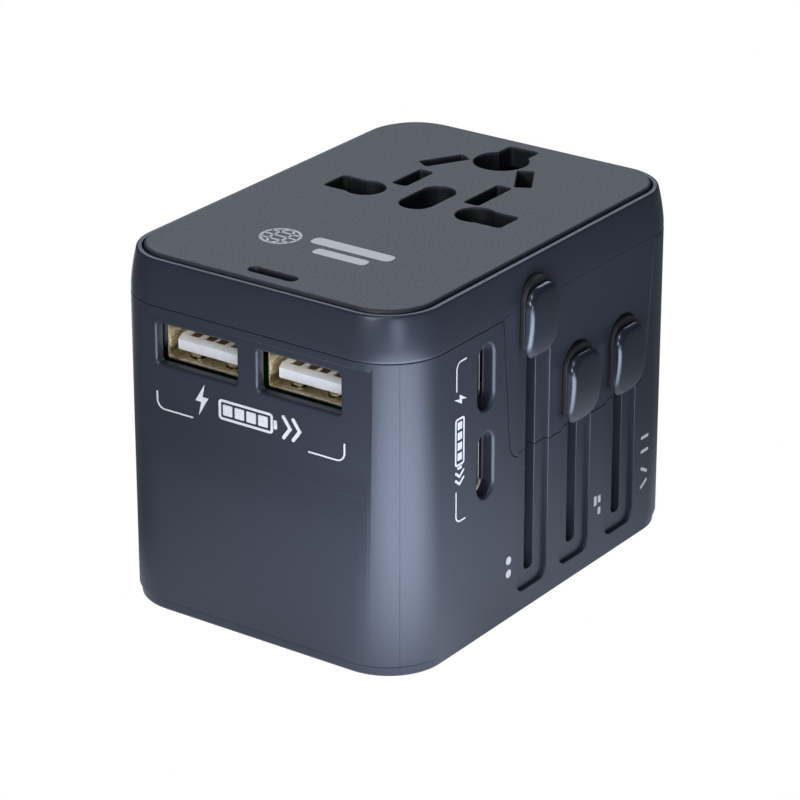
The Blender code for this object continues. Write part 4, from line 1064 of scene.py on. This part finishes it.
# the room's colour by height: bright below the horizon, dim just above it, brighter overhead
ROOM = [(0.0, (0.60, 0.62, 0.66)), (0.01, (0.05, 0.055, 0.07)),
        (0.5, (0.07, 0.08, 0.10)), (1.0, (0.14, 0.15, 0.17))]
FLOOR_REACH = 6.0


def room():
    """The room is what the object reflects; the camera sees a white backdrop instead."""
    world = bpy.data.worlds.new("studio")
    SCENE.world = world
    world.use_nodes = True
    tree = world.node_tree
    split = add_node(tree, "SeparateXYZ", Vector=add_node(tree, "TexCoord").outputs["Generated"])
    ramp = add_node(tree, "ValToRGB", Fac=split.outputs["Z"])
    while len(ramp.color_ramp.elements) < len(ROOM):
        ramp.color_ramp.elements.new(0.5)
    for element, (at, color) in zip(ramp.color_ramp.elements, ROOM):
        element.position, element.color = at, (*color, 1)
    walls, backdrop = tree.nodes["Background"], add_node(tree, "Background", Color=(1, 1, 1, 1))
    tree.links.new(ramp.outputs["Color"], walls.inputs["Color"])
    show_camera(tree, walls.outputs["Background"], backdrop.outputs["Background"], "World Output")


def show_camera(tree, real, seen, output):
    """Mix two shaders: what lights and reflects, and what the camera sees."""
    mix = add_node(tree, "MixShader", Fac=add_node(tree, "LightPath").outputs["Is Camera Ray"])
    tree.links.new(real, mix.inputs[1])
    tree.links.new(seen, mix.inputs[2])
    tree.links.new(mix.outputs["Shader"], tree.nodes[output].inputs["Surface"])


def studio():
    SCENE.view_settings.view_transform = "Standard"
    room()
    floor = new_object("floor", bmesh.new())
    corners = [(u * FLOOR_REACH, v * FLOOR_REACH, 0) for u, v in ((-1, -1), (1, -1), (1, 1), (-1, 1))]
    floor.data.from_pydata(corners, [], [(0, 1, 2, 3)])
    floor.location.z = -MM
    floor.data.materials.append(paper())
    softbox("back_sheen", 215, 38, 1.2, (1.3, 0.5), 7.0, (0.82, 0.90, 1.0))
    softbox("edge_light", 25, 62, 1.2, (0.5, 0.4), 3.0, (0.94, 0.96, 1.0))
    softbox("port_fill", 5, 22, 1.0, (0.3, 0.3), 3.5)
    softbox("rim_glow", 50, 4, 0.6, (0.16, 0.12), 0.5, (0.84, 0.90, 1.0))


def paper():
    """Paper that lights the object and shows in its gloss, brightest in front of the corner
    between the port faces. It is clear to the camera, which sees the backdrop through it, so
    the plugs that slide out below the base stay in view. Places and reaches are in metres."""
    look = Paint("paper").color((0.22, 0.22, 0.23), (0.26, 0.26, 0.27), 40)
    look.set(Roughness=0.9, Emission_Color=(0.87, 0.92, 1.03, 1))
    tree = look.tree

    def patch(centre, start, end, inside, outside):
        """A round patch: one value near its centre, fading to another further out."""
        far = look.add("VectorMath", "DISTANCE", Vector=look.place)
        far.inputs[1].default_value = centre
        fade = look.range(far.outputs["Value"], inside, outside, start, end)
        fade.interpolation_type = "SMOOTHSTEP"
        return fade.outputs["Result"]

    def math(operation, first, second):
        node = look.add("Math", operation)
        tree.links.new(first, node.inputs[0])
        tree.links.new(second, node.inputs[1])
        return node.outputs["Value"]

    near = patch((0.02, -0.03, 0), 0.035, 0.11, 0.80, 0.03)
    card = patch((-0.065, -0.02, 0), 0.02, 0.055, 0.05, 1.0)
    pool = patch((0.095, -0.082, 0), 0.04, 0.10, 6.5, 0.0)
    back_pool = patch((-0.10, 0.09, 0), 0.03, 0.09, 3.0, 0.0)
    light = math("ADD", math("ADD", math("MULTIPLY", near, card), pool), back_pool)
    tree.links.new(light, look.shader.inputs["Emission Strength"])
    clear = look.add("BsdfTransparent")
    show_camera(tree, look.shader.outputs["BSDF"], clear.outputs["BSDF"], "Material Output")
    return look.made


# ---- the whole adapter
def finish_remaining():
    """Every CAD node that is shown as it is takes its slot's finish."""
    for name, node in frame["nodes"].items():
        if not node.hide_render:
            node.data.materials.clear()
            node.data.materials.append(LOOKS[SLOTS[name]])


make_top_shell()
make_posts()
make_front_shell()
make_rear_shell()
make_base_plate()
make_socket_panel()
make_led()
for index, place_at in enumerate(POSTS):
    screw_low, screw_high = span(f"base_screw_{index + 1}", "Z")
    make_screw(f"base_screw_{index + 1}", place_at, screw_low, screw_high, radius=1.0, head=2.2)
for slider in SLIDERS:
    make_knob(slider)
    make_foot(slider)
make_eu_carriage()
make_eu_pins()
make_uk_pins()
for blade_side in SIDES:
    make_us_blade(blade_side)
for port_side, port_x in USB_A:
    make_usb_a(port_side, port_x)
    make_usb_a_tongue(port_side, port_x)
for port_place, port_z in USB_C:
    make_usb_c(port_place, port_z)
print_front()
print_side()
print_labels()
print_top()
finish_remaining()
camera()
studio()
